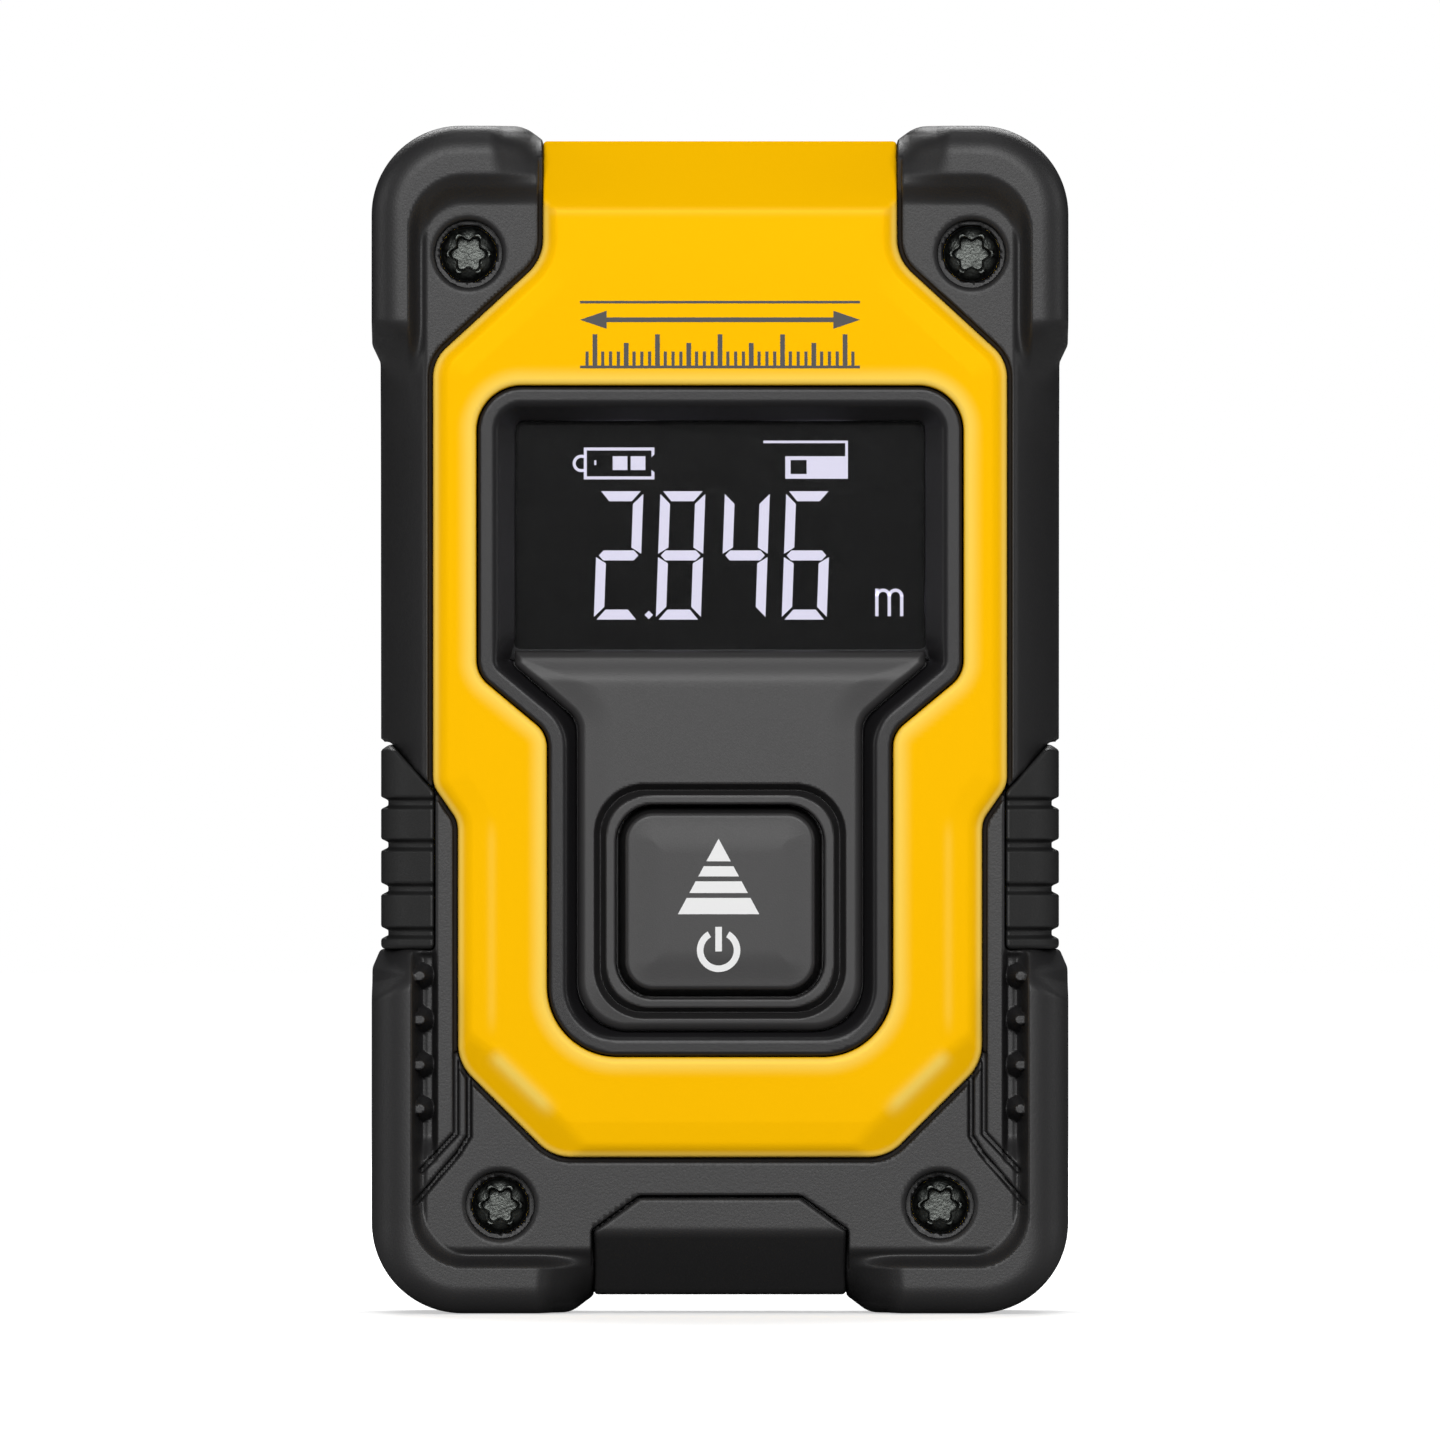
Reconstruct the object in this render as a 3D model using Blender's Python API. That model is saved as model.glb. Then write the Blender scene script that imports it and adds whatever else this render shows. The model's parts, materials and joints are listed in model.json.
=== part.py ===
"""Pocket laser distance meter, standing on its base.

Metres, +Z up. The front face looks along -Y and X is to the right.
Origin: middle of the base plane (the rear measuring reference), near mid-thickness.
All dimensions are in millimetres and are turned into metres when a mesh is made.
"""

import math

import bmesh
import bpy
from mathutils import Vector

MM = 0.001

# ---------------------------------------------------------------- driving dimensions (mm)
HEIGHT = 76.0                     # base plane to the tips of the top bumpers
BODY_HALF_W = 21.75               # case between the bumpers
BUMPER_HALF_W = 22.3
BODY_Z0, BODY_Z1 = 1.15, 75.05
BODY_R = 5.0
JACKET_FLAT_Y = 10.9              # flat front and rear of the rubber jackets
CREST_Y = 12.0                    # crest of the corner bumpers, front and rear
PLATEAU_Y = -11.7                 # raised yellow face
SPLIT_Y = 1.0                     # parting plane of the case
GAP = 0.3                         # running gap between neighbouring pieces
RIM_OFFSET = 0.5                  # each housing rim stands this far from the parting plane

JACKET_WALL = 2.0
SHELL_INSET = JACKET_WALL + GAP   # outside of the hard housings
SHELL_WALL = 1.5
CAVITY_INSET = SHELL_INSET + SHELL_WALL

TONGUE_HALF_W = 11.32             # hard tongue over the measuring end
TONGUE_TOP = 82.0                 # tongue blocks and cutters run past the top end
PANEL_TOP = 83.0                  # panels run further still, then get trimmed
FACE_HALF_W, FACE_LOW_HALF_W = 18.36, 16.75

SCREW_TOP, SCREW_LOW = (16.1, 67.8), (14.07, 6.92)   # x, z of the right-hand screws
SCREWS = [(side * x, z) for x, z in (SCREW_TOP, SCREW_LOW) for side in (-1, 1)]
SCREW_HOLE_R = 2.17               # counterbore
SCREW_HEAD_R = 1.78
SCREW_SHANK_R = 1.0
SHANK_HOLE_R = SCREW_SHANK_R + GAP

BUTTON_Z = 26.37
BUTTON_AXIS = (0.0, BUTTON_Z)
CAP_HALF_W, CAP_HALF_H = 6.02, 5.61

BOARD_FRONT_Y, BOARD_REAR_Y = -3.6, -2.6
FRONT_PARTS_Y = BOARD_FRONT_Y - GAP   # rear of parts in front of the board
REAR_PARTS_Y = BOARD_REAR_Y + GAP     # front of parts behind the board

OPTIC_Y = 2.0                     # centre of the optical window
LENS_Y = OPTIC_Y + 0.6            # plane of the two optical axes
LASER_AXIS = (-5.6, LENS_Y)       # x, y
RECEIVER_X = 3.4
RECEIVER_AXIS = (RECEIVER_X, LENS_Y)

FLAP_HALF_W, FLAP_TOP_HALF_W = 8.06, 5.14
FLAP_TOP_Z, FLAP_SHOULDER_Z = 7.39, 5.28
FLAP_REAR_Y = 3.75
FLAP_HINGE = (4.05, BODY_Z0)      # y, z of the living hinge
PORT_Y = -1.0                     # centre of the charging port
PORT_HALF_W = 4.25


# ---------------------------------------------------------------- materials
def material(name, colour, roughness, metallic=0.0):
    mat = bpy.data.materials.new(name)
    mat.use_nodes = True
    shader = mat.node_tree.nodes["Principled BSDF"]
    shader.inputs["Base Color"].default_value = (*colour, 1.0)
    shader.inputs["Roughness"].default_value = roughness
    shader.inputs["Metallic"].default_value = metallic
    return mat


YELLOW = material("yellow_abs", colour=(0.93, 0.53, 0.012), roughness=0.38)
BLACK = material("black_abs", colour=(0.035, 0.035, 0.037), roughness=0.5)
RUBBER = material("black_rubber", colour=(0.045, 0.045, 0.047), roughness=0.62)
GREY_KEY = material("grey_silicone", colour=(0.075, 0.073, 0.076), roughness=0.55)
CLEAR = material("clear_window", colour=(0.02, 0.02, 0.022), roughness=0.08)
LCD = material("lcd_glass", colour=(0.01, 0.01, 0.012), roughness=0.15)
WHITE = material("white_plastic", colour=(0.8, 0.8, 0.78), roughness=0.45)
PCB = material("green_board", colour=(0.02, 0.16, 0.06), roughness=0.45)
STEEL = material("steel", colour=(0.45, 0.45, 0.46), roughness=0.35, metallic=1.0)
DARK_STEEL = material("black_oxide_steel", colour=(0.12, 0.12, 0.12), roughness=0.4, metallic=1.0)
BRASS = material("brass", colour=(0.72, 0.5, 0.2), roughness=0.3, metallic=1.0)
CHIP = material("chip_epoxy", colour=(0.02, 0.02, 0.02), roughness=0.6)
FOIL = material("battery_foil", colour=(0.55, 0.57, 0.6), roughness=0.35, metallic=0.6)
FOAM = material("grey_foam", colour=(0.18, 0.18, 0.19), roughness=0.95)
POLYIMIDE = material("amber_flex", colour=(0.5, 0.24, 0.03), roughness=0.4)
LENS = material("coated_lens", colour=(0.25, 0.2, 0.4), roughness=0.05)
RED_WIRE = material("red_wire", colour=(0.6, 0.02, 0.02), roughness=0.5)
BLACK_WIRE = material("black_wire", colour=(0.02, 0.02, 0.02), roughness=0.5)
LABEL = material("blank_label", colour=(0.5, 0.5, 0.5), roughness=0.5)


# ---------------------------------------------------------------- outlines
def outline(corners, inset=0.0, seg=3):
    """Closed outline from counter-clockwise (a, b, fillet radius) corners, moved inwards by inset.

    A corner of radius 0 stays one point; the number of points doesn't depend on the inset.
    """
    count = len(corners)
    moved = []
    for i in range(count):
        before, here, after = (Vector(corners[(i + k) % count][:2]) for k in (-1, 0, 1))
        dir_in, dir_out = (here - before).normalized(), (after - here).normalized()
        normal_in = Vector((-dir_in.y, dir_in.x))
        bisector = normal_in + Vector((-dir_out.y, dir_out.x))
        moved.append(here + bisector * (inset / max(bisector.dot(normal_in), 1e-6)))
    points = []
    for i in range(count):
        before, here, after = moved[i - 1], moved[i], moved[(i + 1) % count]
        radius = corners[i][2]
        if radius <= 0:
            points.append((here.x, here.y))
            continue
        back, ahead = (before - here).normalized(), (after - here).normalized()
        turn = (here - before).x * (after - here).y - (here - before).y * (after - here).x
        radius = max(radius - inset if turn > 0 else radius + inset, 0.12)
        half = back.angle(ahead) / 2
        reach = radius / math.tan(half)
        centre = here + (back + ahead).normalized() * (radius / math.sin(half))
        start, end = here + back * reach - centre, here + ahead * reach - centre
        sweep = start.angle_signed(end)
        for k in range(seg + 1):
            c, s = math.cos(-sweep * k / seg), math.sin(-sweep * k / seg)
            points.append((centre.x + start.x * c - start.y * s,
                           centre.y + start.x * s + start.y * c))
    return points


def rect(half_w, low, high, radius):
    return [(-half_w, low, radius), (half_w, low, radius),
            (half_w, high, radius), (-half_w, high, radius)]


def flipped(corners):
    """The same corners on the other side of X = 0, still counter-clockwise."""
    return [(-a, b, radius) for a, b, radius in reversed(corners)]


def mirrored(right_half):
    """A counter-clockwise outline from its right half, listed bottom to top."""
    return right_half + flipped(right_half)


def button_outline(half_w, half_h, radius):
    return rect(half_w, BUTTON_Z - half_h, BUTTON_Z + half_h, radius)


def optic_outline(half_w, half_depth, radius):
    """XY rectangle centred on the optical window."""
    return rect(half_w, OPTIC_Y - half_depth, OPTIC_Y + half_depth, radius)


def face_outline(top):
    """Exposed yellow face: a frame with a tongue that runs up between the top bumpers."""
    return mirrored([
        (10.73, 10.0, 3.0), (FACE_LOW_HALF_W, 16.0, 3.0),
        (FACE_LOW_HALF_W, 31.5, 1.6), (FACE_HALF_W, 33.9, 1.6),
        (FACE_HALF_W, 61.0, 2.6), (TONGUE_HALF_W, 67.45, 3.0), (TONGUE_HALF_W, top, 0.0)])


def rear_outline(top):
    """Exposed hard panel on the back, with the same tongue at the measuring end."""
    return mirrored([
        (11.0, 12.0, 2.5), (15.0, 16.0, 2.5), (15.0, 60.0, 2.5),
        (TONGUE_HALF_W, 64.0, 2.5), (TONGUE_HALF_W, top, 0.0)])


# Corners in the XZ plane: x, z, fillet radius
BODY = rect(BODY_HALF_W, BODY_Z0, BODY_Z1, BODY_R)
KEYHOLE = mirrored([
    (11.07, 16.4, 4.5), (11.07, 37.1, 1.8), (15.58, 40.85, 1.8), (15.58, 59.37, 2.9)])
KEYPAD = mirrored([
    (9.1, 18.1, 3.0), (9.1, 38.0, 1.3), (12.9, 41.2, 0.7), (12.9, 42.3, 0.0)])
BOARD = mirrored([
    (9.5, 5.8, 0.8), (9.5, 11.0, 0.6), (16.3, 11.0, 0.8),
    (16.3, 63.5, 0.8), (11.5, 63.5, 0.6), (11.5, 66.5, 0.8)])
BUTTON_HOLE = button_outline(6.62, 6.2, 2.4)
DISPLAY_APERTURE = rect(13.05, 42.6, 57.1, 0.4)
DISPLAY_PLATE = rect(13.85, 41.85, 57.85, 0.5)

# L-shaped corner bumpers on the right
TOP_BUMPER = [
    (BUMPER_HALF_W - 0.55, 60.7, 0), (BUMPER_HALF_W, 61.9, 0), (BUMPER_HALF_W, HEIGHT, 5.6),
    (12.7, HEIGHT, 0), (TONGUE_HALF_W + GAP, 75.2, 0), (TONGUE_HALF_W + GAP, 71.0, 0),
    (18.3, 71.0, 2.4), (18.3, 60.7, 0)]
LOW_BUMPER = [
    (BUMPER_HALF_W - 0.55, 23.4, 0), (18.5, 23.4, 0), (18.5, 4.5, 2.4), (8.45, 4.5, 0),
    (8.45, 0.85, 0), (9.65, 0.0, 0), (BUMPER_HALF_W, 0.0, 5.8), (BUMPER_HALF_W, 22.2, 0)]


# ---------------------------------------------------------------- solids
def loft(name, rings):
    """A closed solid through rings of 3D points (mm), all of one length, capped at both ends."""
    bm = bmesh.new()
    made = [[bm.verts.new(Vector(point) * MM) for point in ring] for ring in rings]
    count = len(rings[0])
    for ring, following in zip(made, made[1:]):
        for i in range(count):
            j = (i + 1) % count
            bm.faces.new((ring[i], ring[j], following[j], following[i]))
    bm.faces.new(list(reversed(made[0])))
    bm.faces.new(made[-1])
    bmesh.ops.recalc_face_normals(bm, faces=bm.faces)
    mesh = bpy.data.meshes.new(name)
    bm.to_mesh(mesh)
    bm.free()
    ob = bpy.data.objects.new(name, mesh)
    bpy.context.scene.collection.objects.link(ob)
    return ob


def loft_y(name, corners, sections, seg=3):
    """XZ outline swept along Y; sections are (y, inset)."""
    return loft(name, [[(x, y, z) for x, z in outline(corners, inset, seg)]
                       for y, inset in sections])


def loft_z(name, corners, sections, seg=3):
    """XY outline swept along Z; sections are (z, inset)."""
    return loft(name, [[(x, y, z) for x, y in outline(corners, inset, seg)]
                       for z, inset in sections])


def plate_y(name, corners, y0, y1, inset=0.0, seg=3):
    """XZ outline extruded straight along Y."""
    return loft_y(name, corners, [(y0, inset), (y1, inset)], seg)


def plate_z(name, corners, z0, z1, seg=3):
    """XY outline extruded straight along Z."""
    return loft_z(name, corners, [(z0, 0.0), (z1, 0.0)], seg)


def prism_x(name, profile, half_w):
    """A (y, z) profile extruded along X, centred on X = 0."""
    return loft(name, [[(x, y, z) for y, z in profile] for x in (-half_w, half_w)])


def box(name, low, high, bevel=0.0):
    (x0, y0, z0), (x1, y1, z1) = low, high
    ob = loft(name, [[(x0, y0, z), (x1, y0, z), (x1, y1, z), (x0, y1, z)] for z in (z0, z1)])
    if bevel:
        bm = bmesh.new()
        bm.from_mesh(ob.data)
        bmesh.ops.bevel(bm, geom=list(bm.edges), offset=bevel * MM, segments=1,
                        affect="EDGES", profile=0.5)
        bm.to_mesh(ob.data)
        bm.free()
    return ob


def turned(name, centre, axis, profile, steps=16):
    """A solid of revolution about a line along "y" or "z".

    centre holds the other two coordinates; profile is (distance along axis, radius).
    """
    rings = []
    for along, radius in profile:
        ring = []
        for k in range(steps):
            angle = 2 * math.pi * (k + 0.5) / steps
            u = centre[0] + radius * math.cos(angle)
            v = centre[1] + radius * math.sin(angle)
            ring.append((u, along, v) if axis == "y" else (u, v, along))
        rings.append(ring)
    return loft(name, rings)


def rod(name, centre, axis, start, end, radius, steps=16):
    return turned(name, centre, axis, [(start, radius), (end, radius)], steps)


def combine(target, other, operation):
    """Exact Boolean of target with other, applied; other is used up."""
    modifier = target.modifiers.new("bool", "BOOLEAN")
    modifier.operation = operation
    modifier.solver = "EXACT"
    modifier.object = other
    bpy.context.view_layer.update()
    graph = bpy.context.evaluated_depsgraph_get()
    mesh = bpy.data.meshes.new_from_object(target.evaluated_get(graph), depsgraph=graph)
    target.modifiers.clear()
    old = target.data
    target.data = mesh
    bpy.data.meshes.remove(old)
    bpy.data.objects.remove(other, do_unlink=True)
    return target


def cut(target, *others):
    for other in others:
        combine(target, other, "DIFFERENCE")
    return target


def join(target, *others):
    for other in others:
        combine(target, other, "UNION")
    return target


def drill_at_screws(target, *bores):
    """Cut every (y0, y1, radius, steps) bore at each screw."""
    for place in SCREWS:
        for y0, y1, radius, steps in bores:
            cut(target, rod("bore", place, "y", y0, y1, radius, steps))


def add_at_screws(target, y0, y1, radius):
    for place in SCREWS:
        join(target, rod("boss", place, "y", y0, y1, radius))


def finish(ob, mat, origin=None):
    """Material, smooth shading with sharp edges kept, and an origin (mm) for a moving piece."""
    ob.data.materials.clear()
    ob.data.materials.append(mat)
    ob.data.shade_smooth()
    ob.data.set_sharp_from_angle(angle=math.radians(32))
    if origin is not None:
        offset = Vector(origin) * MM
        for vertex in ob.data.vertices:
            vertex.co -= offset
        ob.location = offset


# ---------------------------------------------------------------- side grips
GRIP_Z0, GRIP_Z1 = 23.4, 36.4
GRIP_EDGE_X = 18.35               # front and rear edges of the C-section
GRIP_SLOPE, GRIP_PIVOT_X = 0.95, 21.3   # the diagonal top end passes GRIP_Z1 at this x
NOTCH_HEIGHTS = (24.34, 27.16, 29.97, 32.66)
NOTCH_DEPTH = 0.4
NOTCH_HALF_MOUTH, NOTCH_HALF_FLOOR = 0.62, 0.32

# C-section round the right side of the case: x, y
GRIP_OUTER = [
    (GRIP_EDGE_X, -10.75), (18.9, -10.45), (21.35, -6.95), (21.75, -6.2),
    (21.75, 6.2), (21.35, 6.95), (18.9, 10.45), (GRIP_EDGE_X, 10.75)]
GRIP_INNER = [(GRIP_EDGE_X, 8.3), (19.9, 5.4), (19.9, -5.4), (GRIP_EDGE_X, -8.3)]


def grip_ring(side, z, out, grow):
    """One section: outer skin moved outwards by out, the rest thickened by grow."""
    ring = []
    for x, y in GRIP_OUTER:
        shift = math.copysign(0.7 * out, y * out) if abs(y) > 6.5 else 0.0
        ring.append((x + out if x > GRIP_EDGE_X else x - grow, y + shift))
    for x, y in GRIP_INNER:
        shift = math.copysign(grow, y) if x == GRIP_EDGE_X else 0.0
        ring.append((x - grow, y - shift))
    return [(side * x, y, z) for x, y in ring]


def grip(name, side, grow=0.0):
    """Side pad with a diagonal top end. The grown version, for cutting, has no rib grooves."""
    levels = [(GRIP_Z0 - grow, grow)]
    if not grow:
        for z in NOTCH_HEIGHTS:
            levels += [(z - NOTCH_HALF_MOUTH, 0.0), (z - NOTCH_HALF_FLOOR, -NOTCH_DEPTH),
                       (z + NOTCH_HALF_FLOOR, -NOTCH_DEPTH), (z + NOTCH_HALF_MOUTH, 0.0)]
    levels.append((GRIP_Z1 + grow, grow))
    ob = loft(name, [grip_ring(side, z, out, grow) for z, out in levels])
    x0, x1, top = 16.0, 26.0, 60.0    # the diagonal cutter reaches past the pad
    z0, z1 = (GRIP_Z1 + GRIP_SLOPE * (x - GRIP_PIVOT_X) + grow * math.hypot(1.0, GRIP_SLOPE)
              for x in (x0, x1))
    waste = [(x0, z0, 0), (x1, z1, 0), (x1, top, 0), (x0, top, 0)]
    return cut(ob, plate_y("diagonal", waste if side > 0 else flipped(waste), -15.0, 15.0))


# ---------------------------------------------------------------- charging port flap
# Wedge-shaped side profile: y, z
FLAP_PROFILE = [
    (-10.9, 9.0), (-10.9, 5.05), (-6.6, 1.3), (-6.1, BODY_Z0),
    (FLAP_REAR_Y, BODY_Z0), (FLAP_REAR_Y, 3.1), (-5.3, 3.1), (-9.45, 6.5), (-9.45, 9.0)]
# Room for it in the jackets, open to the front and below
FLAP_ROOM = [
    (-14.0, 9.5), (-14.0, -1.0), (FLAP_REAR_Y + GAP, -1.0), (FLAP_REAR_Y + GAP, 3.3),
    (-5.2, 3.3), (-8.6, 6.2), (-8.6, 9.5)]


def flap_solid(name, profile, grow=0.0):
    """A side profile trimmed to the flap's front outline."""
    front = mirrored([(FLAP_HALF_W, -3.0, 0), (FLAP_HALF_W, FLAP_SHOULDER_Z, 0),
                      (FLAP_TOP_HALF_W, FLAP_TOP_Z, 0)])
    keep = plate_y("keep", front, -15.0, 12.0, -grow)
    return combine(prism_x(name, profile, 12.0), keep, "INTERSECT")


def usb_flap():
    flap = flap_solid("usb_flap", FLAP_PROFILE)
    plug = rect(3.9, PORT_Y - 1.3, PORT_Y + 1.3, 0.6)
    join(flap, loft_z("plug", plug, [(2.6, 0.0), (4.4, 0.0), (4.6, 0.2)], seg=2))
    finish(flap, RUBBER, (0.0, *FLAP_HINGE))


def flap_anchor():
    """Base block with a stem and a barb that reach up into the rear housing."""
    anchor = box("flap_anchor", (-5.0, 4.6, BODY_Z0), (5.0, 7.2, 3.1), bevel=0.15)
    join(anchor, box("stem", (-1.4, 5.2, 2.6), (1.4, 6.3, 5.8)))
    join(anchor, box("barb", (-1.35, 4.2, 5.5), (1.35, 6.25, 6.2)))
    finish(anchor, RUBBER)


# ---------------------------------------------------------------- rubber jackets
# In the case halves, facing is -1 for the front half and +1 for the rear.
def jacket_blank(name, facing):
    """Outer skin with its corner bumpers, hollowed for the hard housing."""
    split = SPLIT_Y + facing * GAP / 2
    jacket = loft_y(name, BODY, [
        (split, 0.0), (facing * 6.0, 0.0), (facing * 6.6, 0.22),
        (facing * 10.6, 3.45), (facing * JACKET_FLAT_Y, 3.95)])
    for bumper in (TOP_BUMPER, LOW_BUMPER):
        for corners in (flipped(bumper), bumper):
            join(jacket, loft_y("bumper", corners, [
                (split, 0.0), (facing * 10.3, 0.0), (facing * 11.4, 0.45),
                (facing * CREST_Y, 1.35)]))
    return cut(jacket, loft_y("cavity", BODY, [
        (split - facing * 1.0, JACKET_WALL), (facing * 5.2, JACKET_WALL), (facing * 9.4, 5.4)]))


def cut_grips_and_flap(jacket):
    for side in (-1, 1):
        cut(jacket, grip("grip_room", side, grow=GAP))
    cut(jacket, flap_solid("flap_room", FLAP_ROOM, grow=GAP))


def front_jacket():
    jacket = jacket_blank("front_jacket", -1)
    cut(jacket, plate_y("face_cut", face_outline(TONGUE_TOP), -14.0, 3.0, -GAP))
    drill_at_screws(jacket, (-13.5, -8.0, SCREW_HOLE_R, 16))
    drill_at_screws(jacket, (-9.4, -4.0, 2.85, 16))    # room for the boss pads
    cut_grips_and_flap(jacket)
    finish(jacket, RUBBER)


def rear_jacket():
    jacket = jacket_blank("rear_jacket", 1)
    cut(jacket, plate_y("rear_cut", rear_outline(TONGUE_TOP), -1.0, 14.0, -GAP))
    drill_at_screws(jacket, (4.0, 8.6, 3.15, 16))      # room for the bosses
    cut_grips_and_flap(jacket)
    cut(jacket, box("anchor_room", (-5.3, 3.9, -1.0), (5.3, 7.5, 6.2)))
    finish(jacket, RUBBER)


# ---------------------------------------------------------------- hard housings
FRONT_RIM_Y, REAR_RIM_Y = SPLIT_Y - RIM_OFFSET, SPLIT_Y + RIM_OFFSET

# Waste above the sloping top end of each housing: y, z
FRONT_SLOPE = [
    (-12.2, 58.1), (-11.3, 70.7), (-7.0, 74.9), (-6.6, BODY_Z1),
    (2.0, BODY_Z1), (2.0, 90.0), (-14.0, 90.0), (-14.0, 58.1)]
REAR_SLOPE = [
    (0.0, BODY_Z1), (6.6, BODY_Z1), (7.0, 74.9), (12.0, 69.9),
    (14.0, 69.9), (14.0, 90.0), (0.0, 90.0)]


def top_block(name, half_w, y_ends, z0):
    y0, y1 = sorted(y_ends)
    return box(name, (-half_w, y0, z0), (half_w, y1, TONGUE_TOP))


def housing_blank(name, facing, panel, slope):
    """Solid shell with its exposed panel and tongue, trimmed at the top."""
    rim = SPLIT_Y + facing * RIM_OFFSET
    housing = loft_y(name, BODY, [
        (rim, SHELL_INSET), (facing * 5.08, SHELL_INSET), (facing * 9.1, 5.55)])
    tongue = top_block("tongue", TONGUE_HALF_W - 0.03, (rim, facing * 9.6), 60.0)
    lip_ends = (SPLIT_Y + facing * GAP / 2, facing * 5.0)
    lip = top_block("lip", TONGUE_HALF_W - 0.06, lip_ends, 72.9)
    join(housing, panel, tongue, lip)
    return cut(housing, prism_x("slope", slope, 16.0))


def cut_optical_window(housing):
    """Opening and flange pocket for the optical window in the measuring end."""
    cut(housing,
        plate_z("opening", optic_outline(9.55, 5.3, 3.2), 72.0, 78.0),
        plate_z("flange_pocket", optic_outline(10.2, 5.9, 3.6), 64.0, 73.5))


def front_housing():
    plateau = loft_y("plateau", face_outline(PANEL_TOP), [
        (-8.6, 0.0), (-11.0, 0.0), (-11.45, 0.35), (PLATEAU_Y, 1.0)])
    housing = housing_blank("front_housing", -1, plateau, FRONT_SLOPE)
    boss_r = 2.5
    add_at_screws(housing, -9.05, -6.0, boss_r)        # pads on the outside
    cut(housing, loft_y("cavity", BODY, [
        (FRONT_RIM_Y + 1.0, CAVITY_INSET), (-4.4, CAVITY_INSET), (-7.6, 5.6)]))
    add_at_screws(housing, FRONT_RIM_Y, -8.0, boss_r)
    cut(housing, plate_y("keyhole", KEYHOLE, -13.0, -5.0))
    drill_at_screws(housing, (-12.0, -8.4, SCREW_HOLE_R, 16), (-9.0, 2.0, SHANK_HOLE_R, 12))
    cut_optical_window(housing)
    # Port opening in the base wall, carried on to the rim
    cut(housing,
        plate_z("port", rect(PORT_HALF_W, -3.1, 0.72, 0.8), 2.0, 6.0),
        box("port_rim", (-PORT_HALF_W, 0.2, 2.0), (PORT_HALF_W, 1.4, 6.0)))
    finish(housing, YELLOW)


def rear_housing():
    panel = loft_y("panel", rear_outline(PANEL_TOP), [(8.6, 0.0), (10.9, 0.0), (11.2, 0.4)])
    housing = housing_blank("rear_housing", 1, panel, REAR_SLOPE)
    cut(housing, loft_y("cavity", BODY, [
        (REAR_RIM_Y - 1.0, CAVITY_INSET), (4.6, CAVITY_INSET), (8.8, 7.2)]))
    add_at_screws(housing, REAR_RIM_Y, 8.2, 2.8)
    drill_at_screws(housing, (0.0, 7.2, 2.0, 12))      # pockets for the thread inserts
    cut_optical_window(housing)
    cut(housing, plate_y("label_recess", rect(11.3, 21.7, 52.3, 1.8), 10.75, 13.0))
    cut(housing, box("anchor_slot", (-1.7, 4.9, 2.0), (1.7, 6.6, 7.5)))
    finish(housing, BLACK)


def rear_label():
    finish(plate_y("rear_label", rect(11.0, 22.0, 52.0, 1.5), 11.05, 11.25), LABEL)


def housing_seal():
    """Gasket between the halves, open where the optical window sits."""
    seal = plate_y("housing_seal", BODY, 0.8, 1.2, 2.6)
    cut(seal, plate_y("seal_hole", BODY, 0.0, 2.0, 3.45))
    cut(seal, box("seal_gap", (-10.8, 0.0, 68.0), (10.8, 2.0, 80.0)))
    finish(seal, FOAM)


# ---------------------------------------------------------------- bezel, keypad and button
def bezel():
    """Keyhole-shaped frame round the keypad and the display."""
    ob = loft_y("bezel", KEYHOLE, [(-6.9, GAP), (-11.2, GAP), (-11.5, 0.55)])
    join(ob, plate_y("bezel_flange", KEYHOLE, -7.3, -6.5, -0.5))
    cut(ob, loft_y("tray", KEYHOLE, [(-13.0, 1.03), (-11.3, 1.03), (-10.4, 1.5)]))
    cut(ob, plate_y("keypad_seat", KEYPAD, -13.0, -9.7, -GAP))
    cut(ob, box("flex_slot", (-7.9, -8.1, 39.0), (7.9, -6.0, 42.0)))
    cut(ob, plate_y("aperture", DISPLAY_APERTURE, -12.0, -5.0, seg=2))
    cut(ob, plate_y("lcd_pocket", rect(14.2, 41.5, 58.2, 0.5), -10.0, -5.0, seg=2))
    cut(ob, plate_y("button_hole", BUTTON_HOLE, -12.0, -5.0))
    cut(ob, plate_y("button_pocket", rect(8.9, 18.6, 39.5, 1.5), -9.2, -5.0))
    finish(ob, BLACK)


def keypad_panel():
    """Grey panel with a groove round its button hole."""
    panel = loft_y("keypad_panel", KEYPAD, [(-10.0, 0.0), (-11.05, 0.0), (-11.35, 0.3)])
    groove = plate_y("groove", button_outline(8.0, 7.45, 3.3), -12.0, -10.7)
    cut(groove, plate_y("ridge", button_outline(7.31, 6.83, 3.0), -13.0, -10.0))
    cut(panel, groove)
    cut(panel, plate_y("cap_hole", BUTTON_HOLE, -13.0, -9.0))
    finish(panel, GREY_KEY)


def button_cap():
    """Cap with a retaining flange and a nib that faces the switch."""
    cap = loft_y("button_cap", button_outline(CAP_HALF_W, CAP_HALF_H, 1.8), [
        (-8.5, 0.0), (-11.15, 0.0), (-11.5, 0.35), (-11.6, 1.3)])
    join(cap, plate_y("cap_flange", button_outline(7.4, 6.95, 2.4), -8.9, -8.3))
    join(cap, turned("nib", BUTTON_AXIS, "y", [(-8.6, 1.3), (-7.4, 1.1)], steps=12))
    finish(cap, GREY_KEY, (0.0, -10.0, BUTTON_Z))


# ---------------------------------------------------------------- display stack
def display_window():
    finish(plate_y("display_window", DISPLAY_PLATE, -9.7, -8.9, seg=2), CLEAR)


def window_gasket():
    gasket = plate_y("window_gasket", DISPLAY_PLATE, -8.6, -8.2, seg=2)
    cut(gasket, plate_y("gasket_hole", rect(13.2, 42.5, 57.2, 0.4), -9.5, -7.5, seg=2))
    finish(gasket, FOAM)


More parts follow.
